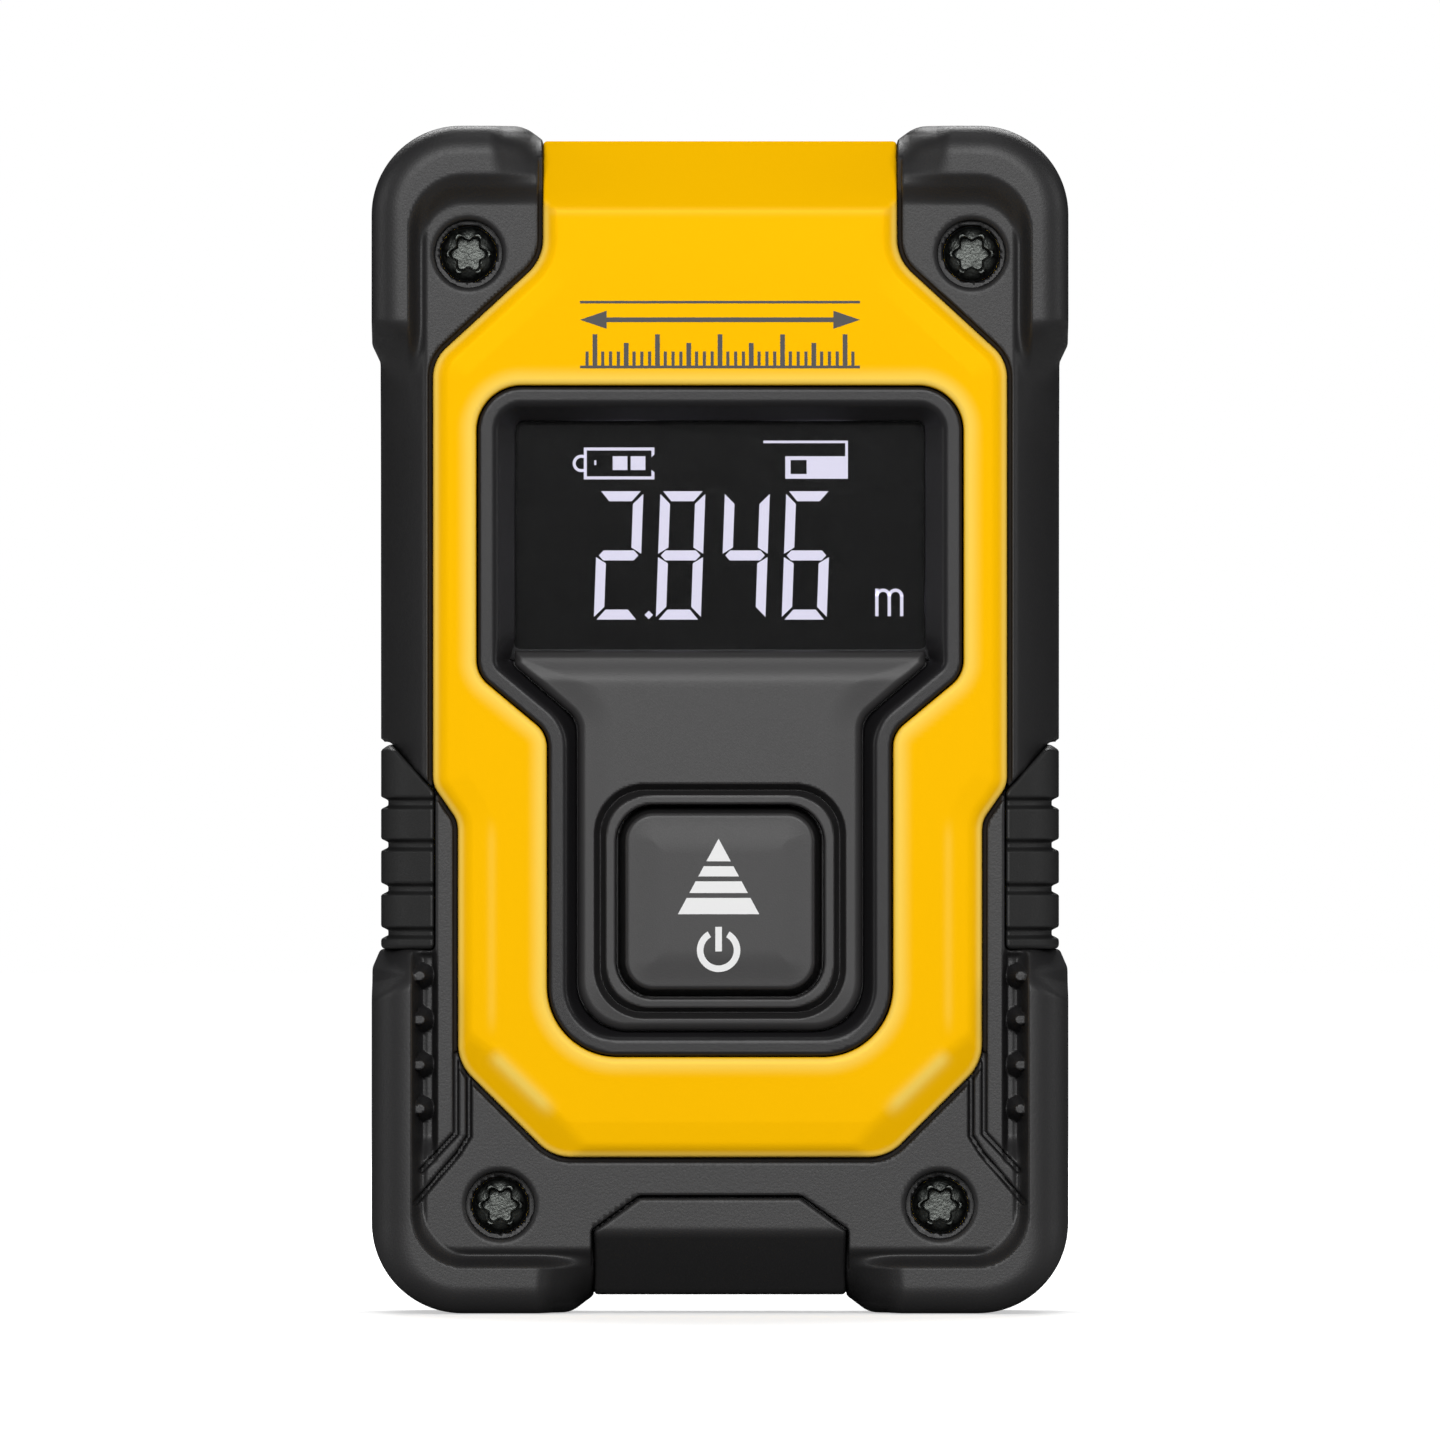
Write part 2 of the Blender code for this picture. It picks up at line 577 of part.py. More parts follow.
def lcd_and_backlight():
    finish(plate_y("lcd_panel", rect(13.8, 41.9, 57.8, 0.0), -7.9, -6.4), LCD)
    finish(box("backlight_guide", (-13.4, -6.1, 42.2), (13.4, -4.5, 57.5)), WHITE)


def lcd_frame():
    """Tray behind the display, open through its floor."""
    frame = box("lcd_frame", (-15.0, -6.2, 40.9), (15.0, FRONT_PARTS_Y, 58.9))
    cut(frame, box("frame_pocket", (-13.7, -7.0, 41.9), (13.7, -4.2, 57.8)))
    cut(frame, box("floor_opening", (-12.0, -5.0, 43.4), (12.0, -3.0, 56.4)))
    finish(frame, WHITE)


def lcd_flex():
    """Stepped ribbon from the display down to the board."""
    profile = [
        (-7.7, 41.5), (-7.7, 40.3), (-4.1, 40.3), (-4.1, 38.0),
        (FRONT_PARTS_Y, 38.0), (FRONT_PARTS_Y, 40.5), (-7.5, 40.5), (-7.5, 41.5)]   # y, z
    finish(prism_x("lcd_flex", profile, 7.5), POLYIMIDE)


# ---------------------------------------------------------------- main board and what it carries
# Parts behind the board: name, (x0, z0), (x1, z1), rear y, bevel, material
BOARD_PARTS = [
    ("mcu_chip", (-5.0, 27.0), (3.0, 35.0), -1.2, 0.12, CHIP),
    ("charger_chip", (5.0, 12.5), (8.0, 15.5), -1.4, 0.1, CHIP),
    ("crystal", (5.6, 30.0), (8.8, 35.0), -1.2, 0.3, STEEL),
    ("rf_shield", (-12.5, 47.6), (12.5, 53.0), -0.5, 0.25, STEEL),
    ("battery_connector", (-14.6, 40.6), (-9.4, 45.4), 0.2, 0.15, WHITE),
]


def main_board():
    finish(plate_y("main_pcb", BOARD, BOARD_FRONT_Y, BOARD_REAR_Y, seg=2), PCB)
    for name, (x0, z0), (x1, z1), rear_y, bevel, mat in BOARD_PARTS:
        finish(box(name, (x0, REAR_PARTS_Y, z0), (x1, rear_y, z1), bevel), mat)
    buzzer = [(-6.1, 3.0), (-5.9, 3.4), (FRONT_PARTS_Y, 3.4)]
    finish(turned("buzzer", (11.0, 18.5), "y", buzzer, steps=20), CHIP)


def tact_switch():
    """Square switch body with a bore for its separate plunger."""
    half = 3.0
    body = box("tact_switch_body", (-half, -6.4, BUTTON_Z - half),
               (half, FRONT_PARTS_Y, BUTTON_Z + half), bevel=0.25)
    cut(body, rod("plunger_hole", BUTTON_AXIS, "y", -8.0, -5.2, 1.15))
    finish(body, STEEL)
    plunger = turned("tact_switch_plunger", BUTTON_AXIS, "y", [(-7.2, 0.75), (-5.9, 0.8)])
    finish(plunger, CHIP, (0.0, -6.5, BUTTON_Z))


def usb_socket():
    """Metal shell, open downwards, with its contact tongue."""
    shell = rect(3.75, PORT_Y - 1.25, PORT_Y + 1.4, 0.6)
    mouth = rect(3.45, PORT_Y - 0.95, PORT_Y + 1.1, 0.3)
    socket = plate_z("usb_socket", shell, 5.3, 10.4, seg=2)
    cut(socket, plate_z("mouth", mouth, 4.0, 9.6, seg=2))
    finish(socket, STEEL)
    finish(box("usb_tongue", (-2.4, PORT_Y - 0.2, 6.1), (2.4, PORT_Y + 0.4, 9.3)), CHIP)


# ---------------------------------------------------------------- battery
# Lead paths from the cell to the connector: x, y, z
RED_LEAD = [
    (-10.6, 2.4, 40.0), (-10.8, 2.5, 43.0), (-11.0, 1.8, 45.7), (-11.0, 0.8, 46.1),
    (-11.0, -0.6, 46.1)]
BLACK_LEAD = [
    (-8.0, 2.4, 40.0), (-8.6, 3.2, 43.5), (-12.2, 3.2, 46.2), (-13.0, 1.2, 46.3),
    (-13.0, -0.6, 46.1)]
LEAD_R = 0.42


def wire(name, mat, path):
    """Insulated lead: a smooth curve through the points of the path."""
    curve = bpy.data.curves.new(name, "CURVE")
    curve.dimensions = "3D"
    curve.bevel_depth = LEAD_R * MM
    curve.bevel_resolution = 1
    curve.resolution_u = 3
    curve.use_fill_caps = True
    spline = curve.splines.new("BEZIER")
    spline.bezier_points.add(len(path) - 1)
    for knot, place in zip(spline.bezier_points, path):
        knot.co = Vector(place) * MM
        knot.handle_left_type = knot.handle_right_type = "AUTO"
    curve.materials.append(mat)
    bpy.context.scene.collection.objects.link(bpy.data.objects.new(name, curve))


def battery():
    """Foil cell, the foam pad behind it and its two leads."""
    finish(box("battery_cell", (-13.0, 0.9, 12.5), (13.0, 6.5, 39.5), bevel=0.9), FOIL)
    finish(box("battery_foam", (-11.0, 6.8, 15.0), (11.0, 8.4, 37.0)), FOAM)
    wire("battery_lead_red", RED_WIRE, RED_LEAD)
    wire("battery_lead_black", BLACK_WIRE, BLACK_LEAD)


# ---------------------------------------------------------------- optics
def optics_chassis():
    """Block with a tapered receiver bore, a seat for its lens and a laser bore."""
    front, rear = OPTIC_Y - 4.1, OPTIC_Y + 5.3
    corners = [(-9.6, front, 1.0), (9.6, front, 1.0), (9.6, rear, 3.1), (-9.6, rear, 3.1)]
    chassis = plate_z("optics_chassis", corners, 55.2, 71.9, seg=2)
    cut(chassis,
        turned("receiver_bore", RECEIVER_AXIS, "z", [(54.0, 3.3), (68.6, 4.0)], steps=20),
        rod("lens_seat", RECEIVER_AXIS, "z", 68.5, 73.0, 4.55, steps=20),
        rod("laser_bore", LASER_AXIS, "z", 54.0, 73.0, 2.75))
    finish(chassis, BLACK)


def laser():
    """Barrel with a lens seat at its top, the lens, and the diode below."""
    barrel = rod("laser_barrel", LASER_AXIS, "z", 55.8, 70.6, 2.4, steps=20)
    cut(barrel,
        rod("barrel_bore", LASER_AXIS, "z", 54.0, 72.0, 1.55),
        rod("barrel_seat", LASER_AXIS, "z", 69.0, 72.0, 1.95))
    finish(barrel, BRASS)
    lens = [(69.3, 1.6), (70.0, 1.6), (70.35, 1.0)]
    finish(turned("laser_lens", LASER_AXIS, "z", lens), LENS)
    diode = [(52.2, 1.0), (53.4, 1.0), (53.5, 2.6), (54.3, 2.6), (54.4, 1.6), (55.45, 1.6)]
    finish(turned("laser_diode", LASER_AXIS, "z", diode), BRASS)


def receiver():
    """Lens at the top, then the filter, detector can and detector board below."""
    lens = [(68.9, 4.2), (70.0, 4.2), (70.9, 3.4), (71.3, 2.2), (71.45, 0.8)]
    finish(turned("receiver_lens", RECEIVER_AXIS, "z", lens, steps=24), LENS)
    board = box("detector_board", (-1.0, LENS_Y - 4.0, 53.6), (8.4, LENS_Y + 4.2, 54.5))
    finish(board, PCB)
    can = [(54.8, 2.7), (55.3, 2.7), (55.4, 2.3), (57.9, 2.3)]
    finish(turned("detector_can", RECEIVER_AXIS, "z", can), STEEL)
    finish(rod("receiver_filter", RECEIVER_AXIS, "z", 58.3, 59.0, 2.7), LENS)


def optical_window():
    window = loft_z("optical_window", optic_outline(9.25, 5.0, 2.9), [
        (72.6, 0.0), (74.6, 0.0), (74.75, 0.15)])
    join(window, plate_z("window_flange", optic_outline(9.85, 5.55, 3.3), 72.3, 73.2))
    finish(window, CLEAR)


# ---------------------------------------------------------------- fasteners
SCREW_PROFILE = [   # y, radius
    (-10.2, 1.2), (-10.05, 1.6), (-9.7, SCREW_HEAD_R), (-8.75, SCREW_HEAD_R),
    (-8.7, SCREW_SHANK_R), (6.2, SCREW_SHANK_R), (6.8, 0.6)]
DRIVE_R, DRIVE_RIPPLE, DRIVE_STEPS = 0.82, 0.16, 12


def drive_ring(x, y, z):
    """Six-lobed driver outline centred on a screw."""
    ring = []
    for k in range(DRIVE_STEPS):
        angle = 2 * math.pi * k / DRIVE_STEPS
        radius = DRIVE_R * (1 + DRIVE_RIPPLE * math.cos(6 * angle))
        ring.append((x + radius * math.cos(angle), y, z + radius * math.sin(angle)))
    return ring


def case_screw(number, place):
    x, z = place
    screw = turned(f"case_screw_{number}", place, "y", SCREW_PROFILE, steps=14)
    cut(screw, loft("drive", [drive_ring(x, y, z) for y in (-11.0, -9.3)]))
    finish(screw, DARK_STEEL)


def thread_insert(number, place):
    insert = rod(f"thread_insert_{number}", place, "y", 1.9, 6.4, 1.7, steps=12)
    cut(insert, rod("insert_bore", place, "y", 0.0, 9.0, SHANK_HOLE_R, steps=12))
    finish(insert, BRASS)


# ---------------------------------------------------------------- assembly
def build():
    for stale in list(bpy.data.objects):
        bpy.data.objects.remove(stale, do_unlink=True)
    front_jacket()
    rear_jacket()
    for side, name in ((-1, "left_grip"), (1, "right_grip")):
        finish(grip(name, side), RUBBER)
    front_housing()
    rear_housing()
    rear_label()
    housing_seal()
    bezel()
    keypad_panel()
    button_cap()
    display_window()
    window_gasket()
    lcd_and_backlight()
    lcd_frame()
    lcd_flex()
    main_board()
    tact_switch()
    usb_socket()
    battery()
    optics_chassis()
    laser()
    receiver()
    optical_window()
    for number, place in enumerate(SCREWS, 1):
        case_screw(number, place)
        thread_insert(number, place)
    usb_flap()
    flap_anchor()


build()
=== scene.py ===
# Looks for the pocket laser distance meter. Metres, +Z up, the display face looks along -Y.
# The moulded pieces are described by distance fields in millimetres and meshed here;
# fasteners, printed graphics and display segments are built from outlines.

import json
import math

import bmesh
import bpy
import numpy as np
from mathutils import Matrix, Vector

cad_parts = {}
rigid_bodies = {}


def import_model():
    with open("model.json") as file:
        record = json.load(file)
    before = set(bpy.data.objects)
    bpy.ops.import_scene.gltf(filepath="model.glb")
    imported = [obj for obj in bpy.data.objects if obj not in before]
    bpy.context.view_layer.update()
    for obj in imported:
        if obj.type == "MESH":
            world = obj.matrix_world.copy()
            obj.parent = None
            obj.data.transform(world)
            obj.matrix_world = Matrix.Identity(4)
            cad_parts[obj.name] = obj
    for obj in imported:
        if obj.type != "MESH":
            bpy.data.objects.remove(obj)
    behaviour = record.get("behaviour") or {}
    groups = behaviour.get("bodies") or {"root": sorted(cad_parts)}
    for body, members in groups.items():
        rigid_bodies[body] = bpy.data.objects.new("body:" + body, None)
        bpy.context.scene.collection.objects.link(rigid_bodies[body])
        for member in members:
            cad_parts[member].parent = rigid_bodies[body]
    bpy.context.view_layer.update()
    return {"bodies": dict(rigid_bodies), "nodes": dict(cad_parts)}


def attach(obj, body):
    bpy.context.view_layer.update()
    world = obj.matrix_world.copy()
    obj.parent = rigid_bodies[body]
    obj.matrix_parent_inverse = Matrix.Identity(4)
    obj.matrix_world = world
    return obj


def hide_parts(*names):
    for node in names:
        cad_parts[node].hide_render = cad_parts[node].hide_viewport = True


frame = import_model()

MM = 0.001
BUTTON_Z = 26.37
SPLIT = 1.0
TONGUE_HALF_W = 11.32
OPTIC_Y = 2.0
SCREWS = ((16.1, 67.8), (14.07, 6.92))
FLAT = 10.6          # front flat of the rubber jacket
CREST = 12.0
PLATEAU = 11.7


# ------------------------------------------------------------------ outlines and their distance tables
def mirrored(right_half):
    return right_half + [(-a, b, r) for a, b, r in reversed(right_half)]


def rect(half_w, z0, z1, r, cx=0.0):
    return [(cx - half_w, z0, r), (cx + half_w, z0, r), (cx + half_w, z1, r), (cx - half_w, z1, r)]


def outline(corners, inset=0.0, seg=8):
    """Closed outline from (a, b, fillet) corners given counter-clockwise, moved inwards by inset."""
    n = len(corners)
    moved = []
    for i in range(n):
        p0, p1, p2 = (Vector(corners[(i + k) % n][:2]) for k in (-1, 0, 1))
        d1, d2 = (p1 - p0).normalized(), (p2 - p1).normalized()
        n1, n2 = Vector((-d1.y, d1.x)), Vector((-d2.y, d2.x))
        bisector = n1 + n2
        moved.append(p1 + bisector * (inset / max(bisector.dot(n1), 1e-6)))
    points = []
    for i in range(n):
        p0, p1, p2 = moved[i - 1], moved[i], moved[(i + 1) % n]
        r = corners[i][2]
        if r <= 0:
            points.append((p1.x, p1.y))
            continue
        u, v = (p0 - p1).normalized(), (p2 - p1).normalized()
        convex = (p1 - p0).x * (p2 - p1).y - (p1 - p0).y * (p2 - p1).x > 0
        r = max(r - inset if convex else r + inset, 0.05)
        half = u.angle(v) / 2
        t = r / math.tan(half)
        centre = p1 + (u + v).normalized() * (r / math.sin(half))
        a, b = p1 + u * t - centre, p1 + v * t - centre
        sweep = a.angle_signed(b)
        for k in range(seg + 1):
            c, s = math.cos(-sweep * k / seg), math.sin(-sweep * k / seg)
            points.append((centre.x + a.x * c - a.y * s, centre.y + a.x * s + a.y * c))
    return points


def polygon_distance(points, x, z):
    """Signed distance to a closed polygon, negative inside."""
    best = np.full(np.broadcast(x, z).shape, 1e9)
    inside = np.zeros(best.shape, bool)
    for (ax, az), (bx, bz) in zip(points, points[1:] + points[:1]):
        ex, ez = bx - ax, bz - az
        wx, wz = x - ax, z - az
        t = np.clip((wx * ex + wz * ez) / max(ex * ex + ez * ez, 1e-12), 0.0, 1.0)
        best = np.minimum(best, (wx - ex * t) ** 2 + (wz - ez * t) ** 2)
        crosses = (az > z) != (bz > z)
        if abs(ez) > 1e-12:
            inside ^= crosses & (x < ax + (z - az) * ex / ez)
    return np.where(inside, -1.0, 1.0) * np.sqrt(best)


class Table:
    """Distance to a left-right symmetric outline, looked up from a fine grid. Called with |x|."""

    STEP, X1, Z0, Z1 = 0.1, 25.0, -4.0, 80.0

    def __init__(self, corners, seg=26):
        xs = np.arange(-2 * self.STEP, self.X1 + self.STEP, self.STEP)
        zs = np.arange(self.Z0, self.Z1 + self.STEP, self.STEP)
        self.x0 = xs[0]
        self.grid = polygon_distance(outline(corners, 0.0, seg), xs[:, None], zs[None, :])

    def __call__(self, x, z):
        g = self.grid
        u = np.clip((x - self.x0) / self.STEP, 0, g.shape[0] - 1.001)
        v = np.clip((z - self.Z0) / self.STEP, 0, g.shape[1] - 1.001)
        u, v = np.broadcast_arrays(u, v)
        i, j = u.astype(int), v.astype(int)
        fu, fv = u - i, v - j
        return (g[i, j] * (1 - fu) + g[i + 1, j] * fu) * (1 - fv) + (g[i, j + 1] * (1 - fu) + g[i + 1, j + 1] * fu) * fv


BODY = Table(rect(21.75, 1.15, 75.05, 5.0))
SILHOUETTE = Table(mirrored([(8.1, 1.05, 0.3), (9.55, 0.0, 1.6), (22.3, 0.0, 5.8), (22.3, 22.1, 0.9), (21.62, 23.7, 0.5), (21.75, 25.2, 0.0),
                             (21.78, 60.9, 0.4), (22.3, 62.0, 0.8), (22.3, 76.0, 5.7), (12.55, 76.0, 2.2), (11.4, 75.15, 0.3)]))


def face_outline(top):
    return mirrored([(10.73, 10.0, 3.0), (16.76, 16.0, 3.0), (16.76, 31.5, 1.8), (18.36, 33.8, 1.8), (18.36, 61.0, 2.6), (11.32, 67.45, 3.0),
                     (11.32, top, 0.0)])


FACE = Table(face_outline(83.0))
REAR_FACE = Table(mirrored([(11.0, 12.0, 2.5), (15.0, 16.0, 2.5), (15.0, 60.0, 2.5), (11.32, 64.0, 2.5), (11.32, 83.0, 0.0)]))
KEY_CORNERS = mirrored([(11.07, 16.4, 4.5), (11.07, 37.1, 1.9), (15.58, 40.85, 2.0), (15.58, 59.37, 2.9)])
KEY = Table(KEY_CORNERS)
PANEL = Table(mirrored([(9.1, 18.1, 3.2), (9.1, 38.0, 1.6), (13.15, 41.5, 0.35), (13.15, 42.42, 0.12)]))
APERTURE = Table(rect(13.05, 42.6, 57.1, 0.5))
CREST_TOP = Table(rect(20.0, -30.0, 73.0, 3.7))
BASIN_TOP = Table(rect(18.95, -30.0, 70.9, 2.6))
CREST_LOW = Table(rect(19.8, 2.9, 110.0, 3.4))
BASIN_LOW = Table(rect(18.9, 3.9, 110.0, 2.9))
FLAP = Table(mirrored([(8.06, -3.5, 0.0), (8.06, 5.28, 0.25), (5.14, 7.39, 0.3)]))
GRIP_ZONE = Table([(18.3, 23.3, 0.3), (24.5, 23.3, 0.0), (24.5, 36.55, 0.0), (21.15, 36.55, 0.5), (18.3, 33.4, 0.6)])


# ------------------------------------------------------------------ field operators
def smoothstep(a, b, x):
    t = np.clip((x - a) / (b - a), 0.0, 1.0)
    return t * t * (3 - 2 * t)


def ramp(a, b, x, knee=0.18):
    """Straight rise from 0 at a to 1 at b, with soft knees."""
    t = (x - a) / (b - a)
    return smin(smax(t, 0.0 * t, knee), 1.0 + 0.0 * t, knee)


def smin(a, b, k):
    h = np.maximum(k - np.abs(a - b), 0.0) / k
    return np.minimum(a, b) - h * h * k * 0.25


def smax(a, b, k):
    return -smin(-a, -b, k)


def rmax(a, b, r):
    """Intersection with a round edge of radius r."""
    u, v = np.maximum(a + r, 0.0), np.maximum(b + r, 0.0)
    return np.minimum(np.maximum(a, b), -r) + np.sqrt(u * u + v * v)


def segment_distance(points, x, z):
    best = 1e9
    for (ax, az), (bx, bz) in zip(points, points[1:]):
        ex, ez = bx - ax, bz - az
        t = np.clip(((x - ax) * ex + (z - az) * ez) / (ex * ex + ez * ez), 0.0, 1.0)
        best = np.minimum(best, (x - ax - ex * t) ** 2 + (z - az - ez * t) ** 2)
    return np.sqrt(best)


def rounded_rect(x, z, half_w, half_h, r, cz=BUTTON_Z):
    qx, qz = np.abs(x) - half_w + r, np.abs(z - cz) - half_h + r
    return np.sqrt(np.maximum(qx, 0) ** 2 + np.maximum(qz, 0) ** 2) + np.minimum(np.maximum(qx, qz), 0.0) - r


# ------------------------------------------------------------------ field mesher (surface nets on a rectilinear grid)
def axis_steps(*spans):
    """Grid coordinates from (start, end, step) spans laid end to end."""
    out = [spans[0][0]]
    for a, b, step in spans:
        n = max(int(round((b - a) / step)), 1)
        out += [a + (b - a) * (k + 1) / n for k in range(n)]
    return np.array(out)


def mesh_field(field, xs, ys, zs, refine=2):
    """Vertices (mm), quads and unit normals of the zero surface of field(x, y, z)."""
    f = np.asarray(field(xs[:, None, None], ys[None, :, None], zs[None, None, :]), np.float32)
    f = np.broadcast_to(f, (len(xs), len(ys), len(zs))).copy()
    f[np.abs(f) < 1e-6] = 1e-6
    inside = f < 0
    shape = tuple(n - 1 for n in f.shape)
    count = np.zeros(shape, np.float32)
    total = [np.zeros(shape, np.float32) for _ in range(3)]
    grids = (xs.astype(np.float32), ys.astype(np.float32), zs.astype(np.float32))
    crossings = []
    for axis in range(3):
        lo = tuple(slice(0, -1) if k == axis else slice(None) for k in range(3))
        hi = tuple(slice(1, None) if k == axis else slice(None) for k in range(3))
        cross = inside[lo] != inside[hi]
        crossings.append((cross, inside[lo]))
        t = np.where(cross, f[lo] / np.where(cross, f[lo] - f[hi], 1.0), 0.0)
        w = cross.astype(np.float32)
        parts = []
        for k in range(3):
            g = grids[k].reshape([-1 if m == k else 1 for m in range(3)])
            if k == axis:
                a, b = np.take(g, range(g.shape[k] - 1), axis=k), np.take(g, range(1, g.shape[k]), axis=k)
                parts.append(w * (a + (b - a) * t))
            else:
                parts.append(w * g)
        others = [k for k in range(3) if k != axis]
        for s1 in (0, 1):
            for s2 in (0, 1):
                window = [slice(None)] * 3
                for k, s in zip(others, (s1, s2)):
                    window[k] = slice(s, s + shape[k])
                window = tuple(window)
                count += w[window]
                for k in range(3):
                    total[k] += parts[k][window]
    active = count > 0
    index = np.full(shape, -1, np.int64)
    index[active] = np.arange(int(active.sum()))
    verts = np.stack([total[k][active] / count[active] for k in range(3)], axis=1).astype(float)
    quads = []
    for axis in range(3):
        cross, low_inside = crossings[axis]
        others = [k for k in range(3) if k != axis]
        if axis == 1:
            others.reverse()
        window = [slice(None)] * 3
        for k in others:
            window[k] = slice(1, -1)
        c = cross[tuple(window)]
        flip = low_inside[tuple(window)][c]
        at = np.argwhere(c)
        for k in others:
            at[:, k] += 1
        corners = []
        for s1, s2 in ((0, 0), (1, 0), (1, 1), (0, 1)):
            p = at.copy()
            p[:, others[0]] -= 1 - s1
            p[:, others[1]] -= 1 - s2
            corners.append(index[p[:, 0], p[:, 1], p[:, 2]])
        q = np.stack(corners, axis=1)
        q[~flip] = q[~flip][:, ::-1]
        quads.append(q)
    quads = np.concatenate(quads)

    def value(p):
        return np.asarray(field(p[:, 0], p[:, 1], p[:, 2]), float)

    def gradient(p, h):
        g = np.empty_like(p)
        for k in range(3):
            d = np.zeros(3)
            d[k] = h
            g[:, k] = (value(p + d) - value(p - d)) / (2 * h)
        return g

    cell = float(min(np.diff(xs).min(), np.diff(ys).min(), np.diff(zs).min()))
    for _ in range(refine):
        g = gradient(verts, 0.03)
        step = value(verts)[:, None] * g / np.maximum((g * g).sum(1), 0.3)[:, None]
        size = np.linalg.norm(step, axis=1, keepdims=True)
        verts -= step * np.minimum(1.0, 0.5 * cell / np.maximum(size, 1e-9))
    g = gradient(verts, 0.05)
    normals = g / np.maximum(np.linalg.norm(g, axis=1, keepdims=True), 1e-9)
    return verts, quads, normals


def make_object(name, verts_mm, faces, mat, normals=None):
    mesh = bpy.data.meshes.new(name)
    if isinstance(faces, np.ndarray) and faces.ndim == 2:
        n, k = faces.shape
        mesh.vertices.add(len(verts_mm))
        mesh.vertices.foreach_set("co", (np.asarray(verts_mm) * MM).astype(np.float32).ravel())
        mesh.loops.add(n * k)
        mesh.loops.foreach_set("vertex_index", faces.astype(np.int32).ravel())
        mesh.polygons.add(n)
        mesh.polygons.foreach_set("loop_start", np.arange(0, n * k, k, dtype=np.int32))
        mesh.update(calc_edges=True)
    else:
        mesh.from_pydata([tuple(np.asarray(v) * MM) for v in verts_mm], [], faces)
    mesh.validate()
    mesh.shade_smooth()
    if normals is not None and len(mesh.vertices) == len(normals):
        mesh.normals_split_custom_set_from_vertices([tuple(v) for v in normals])
    mesh.materials.append(mat)
    ob = bpy.data.objects.new(name, mesh)
    bpy.context.scene.collection.objects.link(ob)
    return ob


def field_piece(name, field, xs, ys, zs, mat, refine=2, sheen=None):
    """sheen(points, normals) gives a 0-1 value per vertex, kept as the attribute the material reads for its painted
    highlight.
    """
    verts, quads, normals = mesh_field(field, xs, ys, zs, refine)
    ob = make_object(name, verts, quads, mat, normals)
    if sheen is not None and len(ob.data.vertices) == len(verts):
        layer = ob.data.attributes.new("sheen", "FLOAT", "POINT")
        layer.data.foreach_set("value", np.clip(sheen(verts, normals), 0, 1).astype(np.float32))
    return ob


def mirrored_steps(half):
    """Symmetric grid coordinates from the positive half, whose first value is above 0."""
    return np.concatenate([-half[::-1], half])


# ------------------------------------------------------------------ materials
def new_material(name):
    m = bpy.data.materials.new(name)
    m.use_nodes = True
    return m, m.node_tree.nodes, m.node_tree.links, m.node_tree.nodes["Principled BSDF"]


def coordinates(nodes, links, scale):
    c = nodes.new("ShaderNodeTexCoord")
    mp = nodes.new("ShaderNodeMapping")
    mp.inputs["Scale"].default_value = (scale,) * 3
    links.new(c.outputs["Object"], mp.inputs["Vector"])
    return mp.outputs["Vector"]


def textured(name, colour, rough, grain_mm=0.12, bump=0.15, vary=0.12, rough_vary=0.08, metal=0.0, spec=0.5, broad_mm=9.0, sheen=0.0,
             stretch=None, coat=0.0, ior=1.5, tint=(1, 1, 1)):
    """Principled surface with fine grain in the bump, and slow colour and roughness variation."""
    m, nodes, links, p = new_material(name)
    grain = nodes.new("ShaderNodeTexNoise")
    grain.inputs["Scale"].default_value = 1.0
    grain.inputs["Detail"].default_value = 4.0
    vec = coordinates(nodes, links, 1.0 / (grain_mm * MM))
    if stretch:
        vec.node.inputs["Scale"].default_value = tuple(s / (grain_mm * MM) for s in stretch)
    links.new(vec, grain.inputs["Vector"])
    broad = nodes.new("ShaderNodeTexNoise")
    broad.inputs["Scale"].default_value = 1.0
    broad.inputs["Detail"].default_value = 3.0
    links.new(coordinates(nodes, links, 1.0 / (broad_mm * MM)), broad.inputs["Vector"])
    ramp = nodes.new("ShaderNodeMix")
    ramp.data_type = "RGBA"
    links.new(broad.outputs["Fac"], ramp.inputs["Factor"])
    ramp.inputs["A"].default_value = (*[c * (1 - vary) for c in colour], 1)
    ramp.inputs["B"].default_value = (*[min(c * (1 + vary), 1) for c in colour], 1)
    links.new(ramp.outputs["Result"], p.inputs["Base Color"])
    mixed = nodes.new("ShaderNodeMath")
    mixed.operation = "MULTIPLY_ADD"
    links.new(grain.outputs["Fac"], mixed.inputs[0])
    mixed.inputs[1].default_value = rough_vary * 2
    mixed.inputs[2].default_value = rough - rough_vary
    links.new(mixed.outputs["Value"], p.inputs["Roughness"])
    b = nodes.new("ShaderNodeBump")
    b.inputs["Strength"].default_value = bump
    b.inputs["Distance"].default_value = 0.00004
    links.new(grain.outputs["Fac"], b.inputs["Height"])
    links.new(b.outputs["Normal"], p.inputs["Normal"])
    p.inputs["Metallic"].default_value = metal
    p.inputs["Specular IOR Level"].default_value = spec
    p.inputs["IOR"].default_value = ior
    p.inputs["Coat Weight"].default_value = coat
    p.inputs["Coat Roughness"].default_value = 0.08
    p.inputs["Sheen Weight"].default_value = sheen
    p.inputs["Specular Tint"].default_value = (*tint, 1)
    return m


